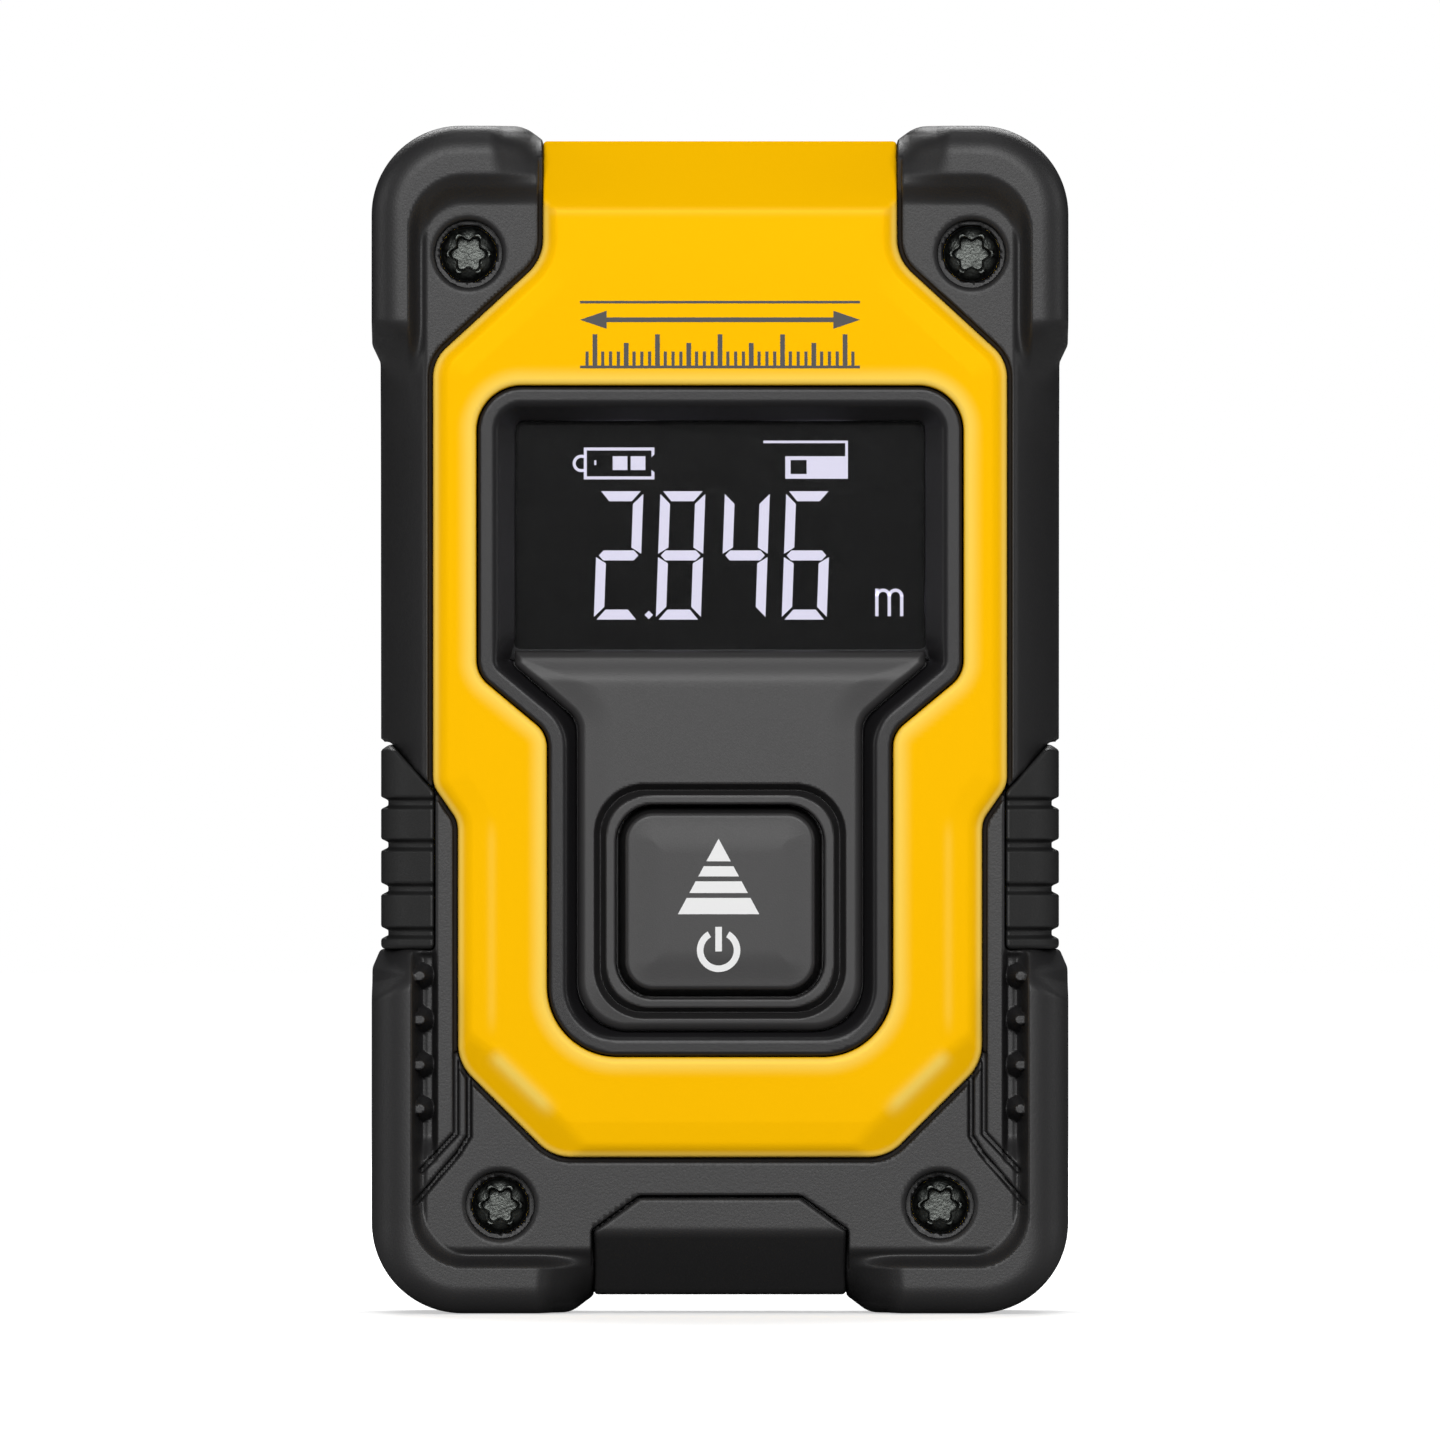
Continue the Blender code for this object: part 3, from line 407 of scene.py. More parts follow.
TPE = textured("moulded_rubber", (0.0185, 0.0180, 0.0186), 0.48, grain_mm=0.14, bump=0.30, vary=0.10, rough_vary=0.06, spec=0.42)
TPE_GRIP = textured("grip_rubber", (0.015, 0.015, 0.015), 0.50, grain_mm=0.12, bump=0.35, vary=0.12, rough_vary=0.06, spec=0.36)
YELLOW = textured("yellow_abs_satin", (1.0, 0.523, 0.0008), 0.33, grain_mm=0.22, bump=0.08, vary=0.015, rough_vary=0.04, spec=0.46, broad_mm=14.0, tint=(0.9, 0.48, 0.012))


def add_painted_highlight(m, colour, amount):
    """Lighter plastic along moulded edges: a painted highlight where the edges would catch the lamps."""
    nodes, links = m.node_tree.nodes, m.node_tree.links
    p = nodes["Principled BSDF"]
    before = p.inputs["Base Color"].links[0].from_socket
    read = nodes.new("ShaderNodeAttribute")
    read.attribute_name = "sheen"
    gain = nodes.new("ShaderNodeMath")
    gain.operation = "MULTIPLY"
    gain.inputs[1].default_value = amount
    links.new(read.outputs["Fac"], gain.inputs[0])
    mix = nodes.new("ShaderNodeMix")
    mix.data_type = "RGBA"
    links.new(gain.outputs["Value"], mix.inputs["Factor"])
    links.new(before, mix.inputs["A"])
    mix.inputs["B"].default_value = (*colour, 1)
    links.new(mix.outputs["Result"], p.inputs["Base Color"])


def duller(m, source, low, high, least):
    """Scale the specular level down to the given share as the source value goes from low to high."""
    nodes, links = m.node_tree.nodes, m.node_tree.links
    p = nodes["Principled BSDF"]
    level = nodes.new("ShaderNodeMapRange")
    level.interpolation_type = "SMOOTHSTEP"
    level.inputs["From Min"].default_value, level.inputs["From Max"].default_value = low, high
    level.inputs["To Min"].default_value = p.inputs["Specular IOR Level"].default_value
    level.inputs["To Max"].default_value = p.inputs["Specular IOR Level"].default_value * least
    links.new(source(nodes, links), level.inputs["Value"])
    links.new(level.outputs["Result"], p.inputs["Specular IOR Level"])


def facing(nodes, links):
    weight = nodes.new("ShaderNodeLayerWeight")
    weight.inputs["Blend"].default_value = 0.5
    return weight.outputs["Facing"]


def upward(nodes, links):
    split = nodes.new("ShaderNodeSeparateXYZ")
    links.new(nodes.new("ShaderNodeNewGeometry").outputs["Normal"], split.inputs["Vector"])
    return split.outputs["Z"]


# painted highlight: pale yellow mixed into the base colour by the per-vertex weight along edges, creases and the
# keyhole rim
add_painted_highlight(YELLOW, (1.0, 0.72, 0.14), 1.0)
duller(YELLOW, upward, 0.25, 0.60, 0.0)      # painted shade: the specular level drops to nothing on yellow that faces up, so the sloped top shows no reflections of the lamps
duller(TPE, facing, 0.40, 0.85, 0.15)        # matt rubber keeps dark at glancing angles
duller(TPE_GRIP, facing, 0.40, 0.85, 0.15)
BLACK_ABS = textured("black_abs_satin", (0.013, 0.0125, 0.0135), 0.38, grain_mm=0.18, bump=0.15, vary=0.08, rough_vary=0.06, spec=0.36)
BEZEL_ABS = textured("bezel_abs_satin", (0.012, 0.0115, 0.0125), 0.38, grain_mm=0.18, bump=0.15, vary=0.08, rough_vary=0.06, spec=0.30)
SILICONE = textured("keypad_silicone", (0.024, 0.023, 0.0235), 0.45, grain_mm=0.10, bump=0.12, vary=0.05, rough_vary=0.05, spec=0.42)
GLASS_BLACK = textured("display_glass", (0.006, 0.006, 0.006), 0.16, grain_mm=0.9, bump=0.02, vary=0.05, rough_vary=0.03, spec=0.35, coat=0.1)
SCREW_STEEL = textured("screw_steel", (0.060, 0.064, 0.060), 0.38, grain_mm=0.16, bump=0.9, vary=0.75, rough_vary=0.15, metal=1.0, broad_mm=0.45)
STEEL = textured("tinned_steel", (0.62, 0.62, 0.61), 0.34, grain_mm=0.16, bump=0.15, vary=0.08, rough_vary=0.1, metal=1.0)
BRASS = textured("turned_brass", (0.74, 0.50, 0.20), 0.30, grain_mm=0.2, bump=0.2, vary=0.08, rough_vary=0.08, metal=1.0)
PCB = textured("board_solder_mask", (0.012, 0.13, 0.05), 0.38, grain_mm=0.35, bump=0.15, vary=0.2, rough_vary=0.08, broad_mm=2.0)
CHIP = textured("chip_epoxy_matt", (0.022, 0.022, 0.023), 0.6, grain_mm=0.08, bump=0.3, vary=0.1)
FOIL = textured("pouch_foil", (0.62, 0.63, 0.65), 0.32, grain_mm=0.5, bump=0.3, vary=0.06, rough_vary=0.1, metal=0.85)
FOAM = textured("pad_foam", (0.10, 0.10, 0.105), 0.95, grain_mm=0.25, bump=0.9, vary=0.25)
WHITE_PLASTIC = textured("frame_white", (0.78, 0.78, 0.76), 0.45, grain_mm=0.2, bump=0.1, vary=0.03)
FLEX = textured("polyimide", (0.42, 0.20, 0.03), 0.35, grain_mm=0.3, bump=0.05, vary=0.1)
LABEL = textured("label_film", (0.42, 0.42, 0.42), 0.42, grain_mm=0.15, bump=0.08, vary=0.04)
RED = textured("lead_red", (0.5, 0.012, 0.012), 0.42, grain_mm=0.2, bump=0.1)
BLACK_LEAD = textured("lead_black", (0.015, 0.015, 0.015), 0.42, grain_mm=0.2, bump=0.1)
COATED = textured("lens_coating", (0.03, 0.012, 0.07), 0.06, grain_mm=1.0, bump=0.0, vary=0.3, rough_vary=0.02, spec=0.8, coat=1.0, broad_mm=5.0)


def see_through(name, colour, rough, alpha):
    m = textured(name, colour, rough, grain_mm=1.2, bump=0.0, vary=0.05, rough_vary=0.01, coat=0.4)
    m.node_tree.nodes["Principled BSDF"].inputs["Alpha"].default_value = alpha
    return m


WINDOW = see_through("smoked_window", (0.004, 0.004, 0.004), 0.07, 0.22)
OPTIC_GLASS = see_through("optical_window_red", (0.10, 0.006, 0.006), 0.05, 0.55)


def ink(name, colour, rough, emission=0.0):
    m = textured(name, colour, rough, grain_mm=0.15, bump=0.05, vary=0.04, rough_vary=0.04)
    p = m.node_tree.nodes["Principled BSDF"]
    if emission:
        p.inputs["Emission Color"].default_value = (*colour, 1)
        p.inputs["Emission Strength"].default_value = emission
    return m


SEGMENTS = ink("display_segments", (0.72, 0.70, 0.86), 0.4, 1.05)
PRINT_BLACK = ink("printed_charcoal", (0.035, 0.030, 0.028), 0.5)
PRINT_WHITE = ink("printed_white", (0.82, 0.82, 0.82), 0.45)


# ------------------------------------------------------------------ moulded jackets
def jacket_height(ax, z, front):
    """Outward depth of the jacket's face, and the bumper ridges on it."""
    flat = FLAT if front else 10.9
    e = -BODY(ax, z)
    base = smin(np.broadcast_to(flat, e.shape), 6.0 + (1.62 if front else 1.3) * np.maximum(e, -0.5), 0.4)
    if front:
        window = smoothstep(18.05, 18.45, ax) * (1 - smoothstep(19.4, 20.1, ax)) * smoothstep(9.4, 11.5, z) * (1 - smoothstep(22.7, 23.6, z))
        base = base - 1.15 * window
    out_top, in_top = np.maximum(BASIN_TOP(ax, z), 0.0), np.maximum(-CREST_TOP(ax, z), 0.0)
    t_top = out_top / np.maximum(out_top + in_top, 1e-3)
    out_low, in_low = np.maximum(BASIN_LOW(ax, z), 0.0), np.maximum(-CREST_LOW(ax, z), 0.0)
    t_low = out_low / np.maximum(out_low + in_low, 1e-3)
    top_mask = ramp(60.0, 63.1, z) * (0.62 + 0.38 * ramp(11.6, 14.4, ax))
    low_mask = (1 - ramp(20.9, 24.1, z + 0.25 * (ax - 21.0))) * ramp(8.0, 11.3, ax)
    t = np.where(z > 40, smoothstep(0, 1, t_top) * top_mask, smoothstep(0, 1, t_low) * low_mask)
    height = base + (CREST - base) * t
    if front:
        for zk in (13.1, 15.9, 18.8, 21.6):      # small grip knobs in the recess beside the lower bumper
            height = np.maximum(height, 11.25 - 2.6 * np.maximum(np.hypot(ax - 19.25, (z - zk) / 0.8) - 0.36, 0.0))
    return height


def jacket_field(front):
    s = -1.0 if front else 1.0
    opening = FACE if front else REAR_FACE

    def field(x, y, z):
        ax = np.abs(x)
        t = s * y
        height = jacket_height(ax, z, front)
        h = 0.04
        slope = np.sqrt(1 + ((jacket_height(ax + h, z, front) - height) / h) ** 2 + ((jacket_height(ax, z + h, front) - height) / h) ** 2)
        edge_round = 2.8 - 1.0 * (1 - smoothstep(2.0, 6.0, z)) - 0.9 * smoothstep(55.0, 60.0, z)
        f = rmax(SILHOUETTE(ax, z), (t - height) / np.minimum(slope, 3.0), edge_round)
        parting = 0.08 - 0.075 * smoothstep(0.30, 0.55, -SILHOUETTE(ax, z))      # open at the surface, closed 0.5 mm in
        f = rmax(f, parting + s * SPLIT - t, 0.22 - 0.16 * smoothstep(0.30, 0.70, -SILHOUETTE(ax, z)))
        body = BODY(ax, z)
        cavity = np.maximum(np.maximum(body + 2.0, (t - 5.2 - 1.235 * (-body - 2.0)) * 0.63), t - 9.4)
        f = np.maximum(f, -cavity)
        gap = 0.30 - 0.26 * smoothstep(10.35, 10.1, t)          # the rubber lip closes on the hard shell below the face
        f = smax(f, gap - opening(ax, z), 0.14)
        for bx, bz in SCREWS:
            d = np.sqrt((ax - bx) ** 2 + (z - bz) ** 2)
            if front:
                f = rmax(f, -np.maximum(d - 2.16, 8.0 - t), 0.38)
                seat = np.maximum(np.maximum(d - 2.8, 1.81 - d), np.abs(t - 9.30) - 0.18)      # thin rubber washer under the counterbore
                f = np.minimum(np.maximum(f, -np.maximum(d - 2.85, t - 9.4)), seat)
            else:
                f = np.maximum(f, -np.maximum(d - 3.15, t - 8.6))
        f = rmax(f, 0.09 - 0.07 * smoothstep(9.7, 9.3, t) - GRIP_ZONE(ax, z), 0.2)
        if front:
            line = np.minimum(segment_distance([(16.9, 16.6), (16.9, 11.5), (19.1, 9.15)], ax, z),
                              segment_distance([(16.07, 15.4), (16.07, 11.35), (16.75, 10.25), (19.45, 7.1)], ax, z))
            f = smax(f, -np.maximum(line - 0.16, (height - 0.55) - t), 0.16)
            flap = FLAP(ax, z)
            f = rmax(f, 0.16 - 0.12 * smoothstep(9.0, 8.6, t) - flap, 0.14)
            f = np.minimum(f, np.maximum(np.maximum(np.maximum(flap - 0.5, -flap - 0.7), 5.3 - z), np.abs(t - 9.28) - 0.14))
        else:
            f = rmax(f, -np.maximum(FLAP(ax, z) - 0.25, t - 4.05), 0.14)
            f = np.maximum(f, -np.maximum(np.maximum(ax - 5.3, t - 7.5), z - 6.2))
        return f

    return field


def jacket(name, front):
    xs = mirrored_steps(axis_steps((0.15, 10.95, 0.36), (10.95, 15.5, 0.22), (15.5, 22.7, 0.16)))
    depth = axis_steps((-12.35, -8.0, 0.17), (-8.0, 1.4, 0.5)) if front else axis_steps((0.6, 8.0, 0.5), (8.0, 12.35, 0.17))
    zs = axis_steps((-0.5, 24.5, 0.17), (24.5, 36.0, 0.3), (36.0, 59.5, 0.5), (59.5, 76.5, 0.19))
    return field_piece(name, jacket_field(front), xs, depth, zs, TPE)


pieces = {}
pieces["front_jacket_skin"] = (jacket("front_jacket_skin", True), "case", ["front_jacket"], "black_rubber")
pieces["rear_jacket_skin"] = (jacket("rear_jacket_skin", False), "case", ["rear_jacket"], "black_rubber")


# ------------------------------------------------------------------ ribbed side grips
def grip_field(x, y, z):
    ax, t = np.abs(x), np.abs(y)
    groove = 1e9
    for zc in (24.34, 27.16, 29.97, 32.66):
        groove = np.minimum(groove, np.abs(z - zc))
    depth = 0.46 * (1 - smoothstep(0.12, 0.44, groove)) + 0.6 * smoothstep(35.95, 36.55, z) + 0.0 * ax
    side = ax - 21.72 + depth
    steep = (ax - 20.6) * 0.86 + (t - 8.9) * 0.51 + depth
    slant = ((ax - 18.3) * 0.66 + (t - 10.35)) * 0.835 + depth * 0.8
    f = smax(smax(side, steep, 0.5), slant, 0.5)
    f = rmax(f, GRIP_ZONE(ax, z), 0.3)
    inner = np.maximum(ax - 19.9, (ax - 19.9) * 0.88 + (t - 5.4) * 0.47)
    return np.maximum(f, -inner)


for side, name in ((-1, "left"), (1, "right")):
    half = axis_steps((17.9, 22.2, 0.15))
    xs = half if side > 0 else -half[::-1]
    ob = field_piece(f"{name}_grip_pad", grip_field, xs, axis_steps((-11.0, -6.0, 0.2), (-6.0, 6.0, 0.5), (6.0, 11.0, 0.2)), axis_steps((22.9, 37.0, 0.11)), TPE_GRIP)
    pieces[ob.name] = (ob, "case", [f"{name}_grip"], "black_rubber")


# ------------------------------------------------------------------ yellow front housing
def yellow_height(ax, z):
    e = -FACE(ax, z)
    h = PLATEAU - 0.060 * np.maximum(2.2 - e, 0.0)
    h = smin(h, PLATEAU - 0.022 * (z - 65.1) + 0 * ax, 0.08)
    h = smin(h, 11.57 - 1.08 * (z - 70.7) + 0 * ax, 0.2)
    h = smin(h, PLATEAU - 0.15 - 0.8 * (0.66 - e), 0.20)
    diagonal = -(ax - 16.76) * 0.695 + (z - 16.0) * 0.719      # inside distance from the lower diagonal edge
    h = smin(h, PLATEAU - 0.50 * (2.0 - diagonal), 0.18)
    return h


def housing_field(front):
    s = -1.0 if front else 1.0
    rim = 0.5

    def field(x, y, z):
        ax, t = np.abs(x), s * y
        split_gap = t - s * SPLIT      # depth in front of the parting plane, positive outward
        body = BODY(ax, z)
        hull = np.maximum(np.maximum(body + 2.3, (t - 5.08 - 1.237 * (-body - 2.3)) * 0.63), np.maximum(t - 9.1, rim - split_gap))
        outlined = FACE(ax, z) if front else REAR_FACE(ax, z)
        if front:
            height = yellow_height(ax, z)
            slope = np.sqrt(1 + ((yellow_height(ax + 0.04, z) - height) / 0.04) ** 2 + ((yellow_height(ax, z + 0.04) - height) / 0.04) ** 2)
            top = (t - height) / np.minimum(slope, 2.0)
        else:
            e = -outlined
            height = smin(smin(11.2 + 0 * e, 11.2 - 0.9 * (0.55 - e), 0.15), 11.2 - 1.0 * (z - 70.5) + 0 * ax, 0.25)
            top = (t - height) / 1.2
        plate = np.maximum(rmax(outlined, top, 0.18), 8.4 - t)
        tongue = rmax(rmax(ax - TONGUE_HALF_W, top, 0.18), z - 75.05, 0.25)
        tongue = rmax(np.maximum(tongue, 66.0 - z), 0.15 - split_gap, 0.12)
        tongue = np.maximum(tongue, np.where(z < 72.9, rim - split_gap, -1.0))
        f = np.minimum(np.minimum(hull, plate), tongue)
        for bx, bz in SCREWS:
            d = np.sqrt((ax - bx) ** 2 + (z - bz) ** 2)
            f = np.minimum(f, np.maximum(np.maximum(d - 2.5, t - 9.05), rim - split_gap))
        if front:
            cavity = np.maximum(np.maximum(body + 3.8, (t - 4.4 - 1.78 * (-body - 3.8)) * 0.5), t - 7.6)
        else:
            cavity = np.maximum(np.maximum(body + 3.8, (t - 4.6 - 1.235 * (-body - 3.8)) * 0.63), t - 8.8)
        for bx, bz in SCREWS:
            d = np.sqrt((ax - bx) ** 2 + (z - bz) ** 2)
            cavity = np.maximum(cavity, (2.5 if front else 2.8) - d)
        f = np.maximum(f, -cavity)
        qx, qy = np.abs(x) - 9.55 + 3.2, np.abs(y - OPTIC_Y) - 5.3 + 3.2
        window = np.sqrt(np.maximum(qx, 0) ** 2 + np.maximum(qy, 0) ** 2) + np.minimum(np.maximum(qx, qy), 0) - 3.2
        f = rmax(f, -np.maximum(window, 70.0 - z), 0.2)
        f = np.maximum(f, -np.maximum(np.maximum(window - 0.65, z - 73.5), 64.0 - z))
        if front:
            f = rmax(f, -KEY(ax, z), 0.4)
            for bx, bz in SCREWS:
                d = np.sqrt((ax - bx) ** 2 + (z - bz) ** 2)
                f = np.maximum(f, -np.maximum(d - 2.2, 8.4 - t))
                f = np.maximum(f, 1.3 - d)
            f = np.maximum(f, -np.maximum(np.maximum(np.abs(x) - 4.25, np.abs(y + 1.0) - 2.1), z - 6.5))
        else:
            for bx, bz in SCREWS:
                d = np.sqrt((ax - bx) ** 2 + (z - bz) ** 2)
                f = np.maximum(f, -np.maximum(d - 2.0, t - 7.2))
            label = np.maximum(rounded_rect(x, z, 11.25, 15.25, 1.7, 37.0), 10.75 - t)
            f = rmax(f, -label, 0.12)
            f = np.maximum(f, -np.maximum(np.maximum(np.abs(x) - 1.7, np.abs(y - 5.75) - 0.85), z - 7.5))
        return f

    return field


grid_x = mirrored_steps(axis_steps((0.14, 10.0, 0.32), (10.0, 19.75, 0.17)))


# painted highlight weights for the yellow face: pale bands along the outline, the side crest, the top crease, a streak
# along each lower diagonal and the keyhole rim, on front-facing surfaces only
def yellow_painted_highlight(p, n):
    ax, t, z = np.abs(p[:, 0]), -p[:, 1], p[:, 2]
    e, k = -FACE(ax, z), KEY(ax, z)
    face = smoothstep(0.15, 0.45, -n[:, 1])
    band = 0.60 * (1 - smoothstep(0.20, 0.48, e)) * (1 - smoothstep(70.4, 71.4, z))
    crest = 0.24 * np.exp(-(((e - 2.15) / 0.25) ** 2)) * smoothstep(17.5, 19.5, z) * (1 - smoothstep(30.0, 32.0, z))
    crease = 0.18 * np.exp(-(((z - 70.5) / 0.22) ** 2))
    diagonal = -(ax - 16.76) * 0.695 + (z - 16.0) * 0.719
    along = (ax - 16.76) * 0.719 + (z - 16.0) * 0.695
    streak = 0.85 * np.exp(-(((diagonal - 1.95) / 0.42) ** 2)) * smoothstep(-6.9, -5.4, along) * (1 - smoothstep(-1.9, -0.8, along)) * (z < 20)
    rim = 0.75 * smoothstep(0.02, 0.15, k) * (1 - smoothstep(0.25, 1.35, k))
    return face * np.maximum.reduce([band, crest, crease, streak, rim])


ob = field_piece("front_housing_shell", housing_field(True), grid_x, axis_steps((-12.0, -8.0, 0.16), (-8.0, 1.2, 0.5)),
                 axis_steps((3.1, 7.0, 0.3), (7.0, 18.0, 0.17), (18.0, 32.0, 0.3), (32.0, 34.5, 0.2), (34.5, 58.0, 0.35), (58.0, 75.4, 0.19)), YELLOW, sheen=yellow_painted_highlight)
pieces[ob.name] = (ob, "case", ["front_housing"], "yellow_abs")
ob = field_piece("rear_housing_shell", housing_field(False), mirrored_steps(axis_steps((0.14, 10.0, 0.4), (10.0, 19.75, 0.25))),
                 axis_steps((0.8, 8.0, 0.5), (8.0, 11.6, 0.2)),
                 axis_steps((3.1, 20.0, 0.3), (20.0, 23.0, 0.2), (23.0, 51.0, 0.5), (51.0, 53.0, 0.2), (53.0, 59.0, 0.4), (59.0, 75.4, 0.22)), BLACK_ABS)
pieces[ob.name] = (ob, "case", ["rear_housing"], "black_abs")


# ------------------------------------------------------------------ keyhole bezel
def bezel_field(x, y, z):
    ax, t = np.abs(x), -y
    key = KEY(ax, z)
    f = np.maximum(rmax(key + 0.10, t - 11.5, 0.24), 6.9 - t)
    f = np.minimum(f, np.maximum(np.maximum(key - 0.5, t - 7.3), 6.5 - t))
    fall = 1.9 - 0.66 * smoothstep(41.0, 43.5, z)
    wall = (11.5 - fall * (-key - 1.2) - t) / np.sqrt(1 + fall * fall)
    f = rmax(f, -np.maximum(wall, 9.72 - t), 0.22)
    f = np.maximum(f, -np.maximum(PANEL(ax, z) - 0.12, 9.7 - t))
    f = rmax(f, -APERTURE(ax, z), 0.12)
    f = np.maximum(f, -np.maximum(np.maximum(ax - 14.2, np.abs(z - 49.85) - 8.08), t - 9.8))
    f = np.maximum(f, -np.maximum(np.maximum(ax - 7.9, np.abs(z - 40.5) - 1.5), t - 8.1))
    f = np.maximum(f, -rounded_rect(x, z, 6.62, 6.2, 2.4))
    f = np.maximum(f, -np.maximum(np.maximum(ax - 8.9, np.abs(z - 29.05) - 10.45), t - 9.2))
    return f


bez_x = mirrored_steps(axis_steps((0.12, 8.5, 0.4), (8.5, 16.3, 0.14)))
ob = field_piece("keyhole_bezel", bezel_field, bez_x, axis_steps((-11.8, -9.6, 0.12), (-9.6, -6.2, 0.3)),
                 axis_steps((15.5, 22.0, 0.15), (22.0, 35.5, 0.35), (35.5, 43.5, 0.15), (43.5, 56.0, 0.4), (56.0, 60.1, 0.15)), BEZEL_ABS)
pieces[ob.name] = (ob, "case", ["bezel"], "black_abs")


# ------------------------------------------------------------------ keypad panel with its raised ring
def panel_field(x, y, z):
    ax, t = np.abs(x), -y
    edge = PANEL(ax, z)
    crown = 11.35 - 0.10 * smoothstep(2.4, 0.0, -edge) - 0.35 * smoothstep(40.4, 42.4, z)
    f = np.maximum(rmax(edge, t - crown, 0.55), 10.0 - t)
    outer, inner = rounded_rect(x, z, 8.0, 7.45, 3.2), rounded_rect(x, z, 7.36, 6.86, 2.9)
    groove = np.maximum(outer, -inner)
    vee = (10.15 + 2.9 * np.abs(outer - (-0.34)) - t) / 3.07
    f = rmax(f, -np.maximum(groove - 0.03, vee), 0.08)
    return rmax(f, -rounded_rect(x, z, 6.66, 6.2, 2.4), 0.14)


ob = field_piece("keypad_web", panel_field, mirrored_steps(axis_steps((0.07, 5.0, 0.28), (5.0, 13.4, 0.12))), axis_steps((-11.6, -9.8, 0.11)),
                 axis_steps((17.8, 22.0, 0.13), (22.0, 31.0, 0.25), (31.0, 35.0, 0.13), (35.0, 37.0, 0.25), (37.0, 42.6, 0.13)), SILICONE)
pieces[ob.name] = (ob, "case", ["keypad_panel"], "grey_silicone")


# ------------------------------------------------------------------ square button cap
def cap_field(x, y, z):
    t = -y
    d = rounded_rect(x, z, 6.08, 5.67, 1.85)
    crown = 11.62 - 0.10 * smoothstep(2.6, 0.0, -d)
    skirt = d - 0.16 * np.clip(11.3 - t, 0.0, 2.4)      # the sides draft outwards and close the gap lower down
    f = np.maximum(rmax(skirt, t - crown, 0.28), 8.3 - t)
    f = np.minimum(f, np.maximum(rounded_rect(x, z, 7.4, 6.95, 2.4), np.abs(t - 8.6) - 0.3))
    nib = np.sqrt(x * x + (z - BUTTON_Z) ** 2) - 1.25
    return np.minimum(f, np.maximum(nib, np.maximum(7.4 - t, t - 9.0)))


ob = field_piece("measure_button", cap_field, mirrored_steps(axis_steps((0.07, 4.0, 0.25), (4.0, 7.7, 0.12))), axis_steps((-11.9, -10.8, 0.09), (-10.8, -7.1, 0.22)),
                 axis_steps((19.1, 22.5, 0.12), (22.5, 30.0, 0.25), (30.0, 33.7, 0.12)), SILICONE)
pieces[ob.name] = (ob, "button", ["button_cap"], "grey_silicone")


# ------------------------------------------------------------------ port flap
def flap_field(x, y, z):
    ax, t = np.abs(x), -y
    d = FLAP(ax, z)
    slope = ((t - 10.6) * 0.655 - (z - 5.1) * 0.755)       # face that runs down and back to the base
    f = smax(smax(t - 10.6, slope, 0.35), 1.15 - z, 0.4)
    f = rmax(f, d, 0.25)
    f = np.maximum(f, -t - 3.75)
    hollow = np.maximum(3.1 - z, np.maximum((t - 5.3) * 0.63 - (z - 3.1) * 0.776, t - 9.45))
    f = np.maximum(f, -hollow)
    plug = np.maximum(np.maximum(ax - 3.9, np.abs(y + 1.0) - 1.3), np.maximum(z - 4.6, 2.0 - z))
    return np.minimum(f, plug)


ob = field_piece("port_flap_cover", flap_field, mirrored_steps(axis_steps((0.12, 4.8, 0.36), (4.8, 8.4, 0.13))), axis_steps((-10.95, -5.0, 0.15), (-5.0, 4.1, 0.3)),
                 axis_steps((0.8, 7.8, 0.13)), TPE)
pieces[ob.name] = (ob, "port_flap", ["usb_flap"], "black_rubber")


# ------------------------------------------------------------------ solids from rings
def ring_solid(name, rings, mat, sharp_deg=35):
    """Closed solid through equal-length rings of 3D points (mm)."""
    bm = bmesh.new()
    made = [[bm.verts.new(Vector(p) * MM) for p in ring] for ring in rings]
    n = len(rings[0])
    for a, b in zip(made, made[1:]):
        for i in range(n):
            bm.faces.new((a[i], a[(i + 1) % n], b[(i + 1) % n], b[i]))
    bm.faces.new(list(reversed(made[0])))
    bm.faces.new(made[-1])
    bmesh.ops.recalc_face_normals(bm, faces=bm.faces)
    mesh = bpy.data.meshes.new(name)
    bm.to_mesh(mesh)
    bm.free()
    mesh.shade_smooth()
    mesh.set_sharp_from_angle(angle=math.radians(sharp_deg))
    mesh.materials.append(mat)
    ob = bpy.data.objects.new(name, mesh)
    bpy.context.scene.collection.objects.link(ob)
    return ob


def lobed(r, depth, steps=72):
    out = []
    for k in range(steps):
        a = 2 * math.pi * k / steps
        q = r * (1 + depth * math.cos(6 * a))
        out.append((q * math.cos(a), q * math.sin(a)))
    return out


def screw(name, cx, cz):
    """Domed head with a six-lobed recess, and the plain shank behind it."""
    steps = 72
    circle = [(math.cos(2 * math.pi * k / steps), math.sin(2 * math.pi * k / steps)) for k in range(steps)]
    rings = []

    def ring(points, y):
        rings.append([(cx + u, y, cz + v) for u, v in points])

    def scaled(r):
        return [(u * r, v * r) for u, v in circle]

    lobes = lobed(1.0, 0.17, steps)
    for r, y in ((0.60, 6.8), (1.0, 6.2), (1.0, -8.62), (1.0, -8.7), (1.70, -8.72), (1.78, -8.80), (1.78, -9.55), (1.72, -9.75), (1.58, -9.92), (1.36, -10.06)):
        ring(scaled(r), y)
    for r, y in ((1.19, -10.14), (1.12, -10.16), (1.06, -10.12), (1.02, -10.02), (1.0, -9.3), (0.93, -9.22)):
        ring([(u * r, v * r) for u, v in lobes], y)
    return ring_solid(name, rings, SCREW_STEEL, 50)


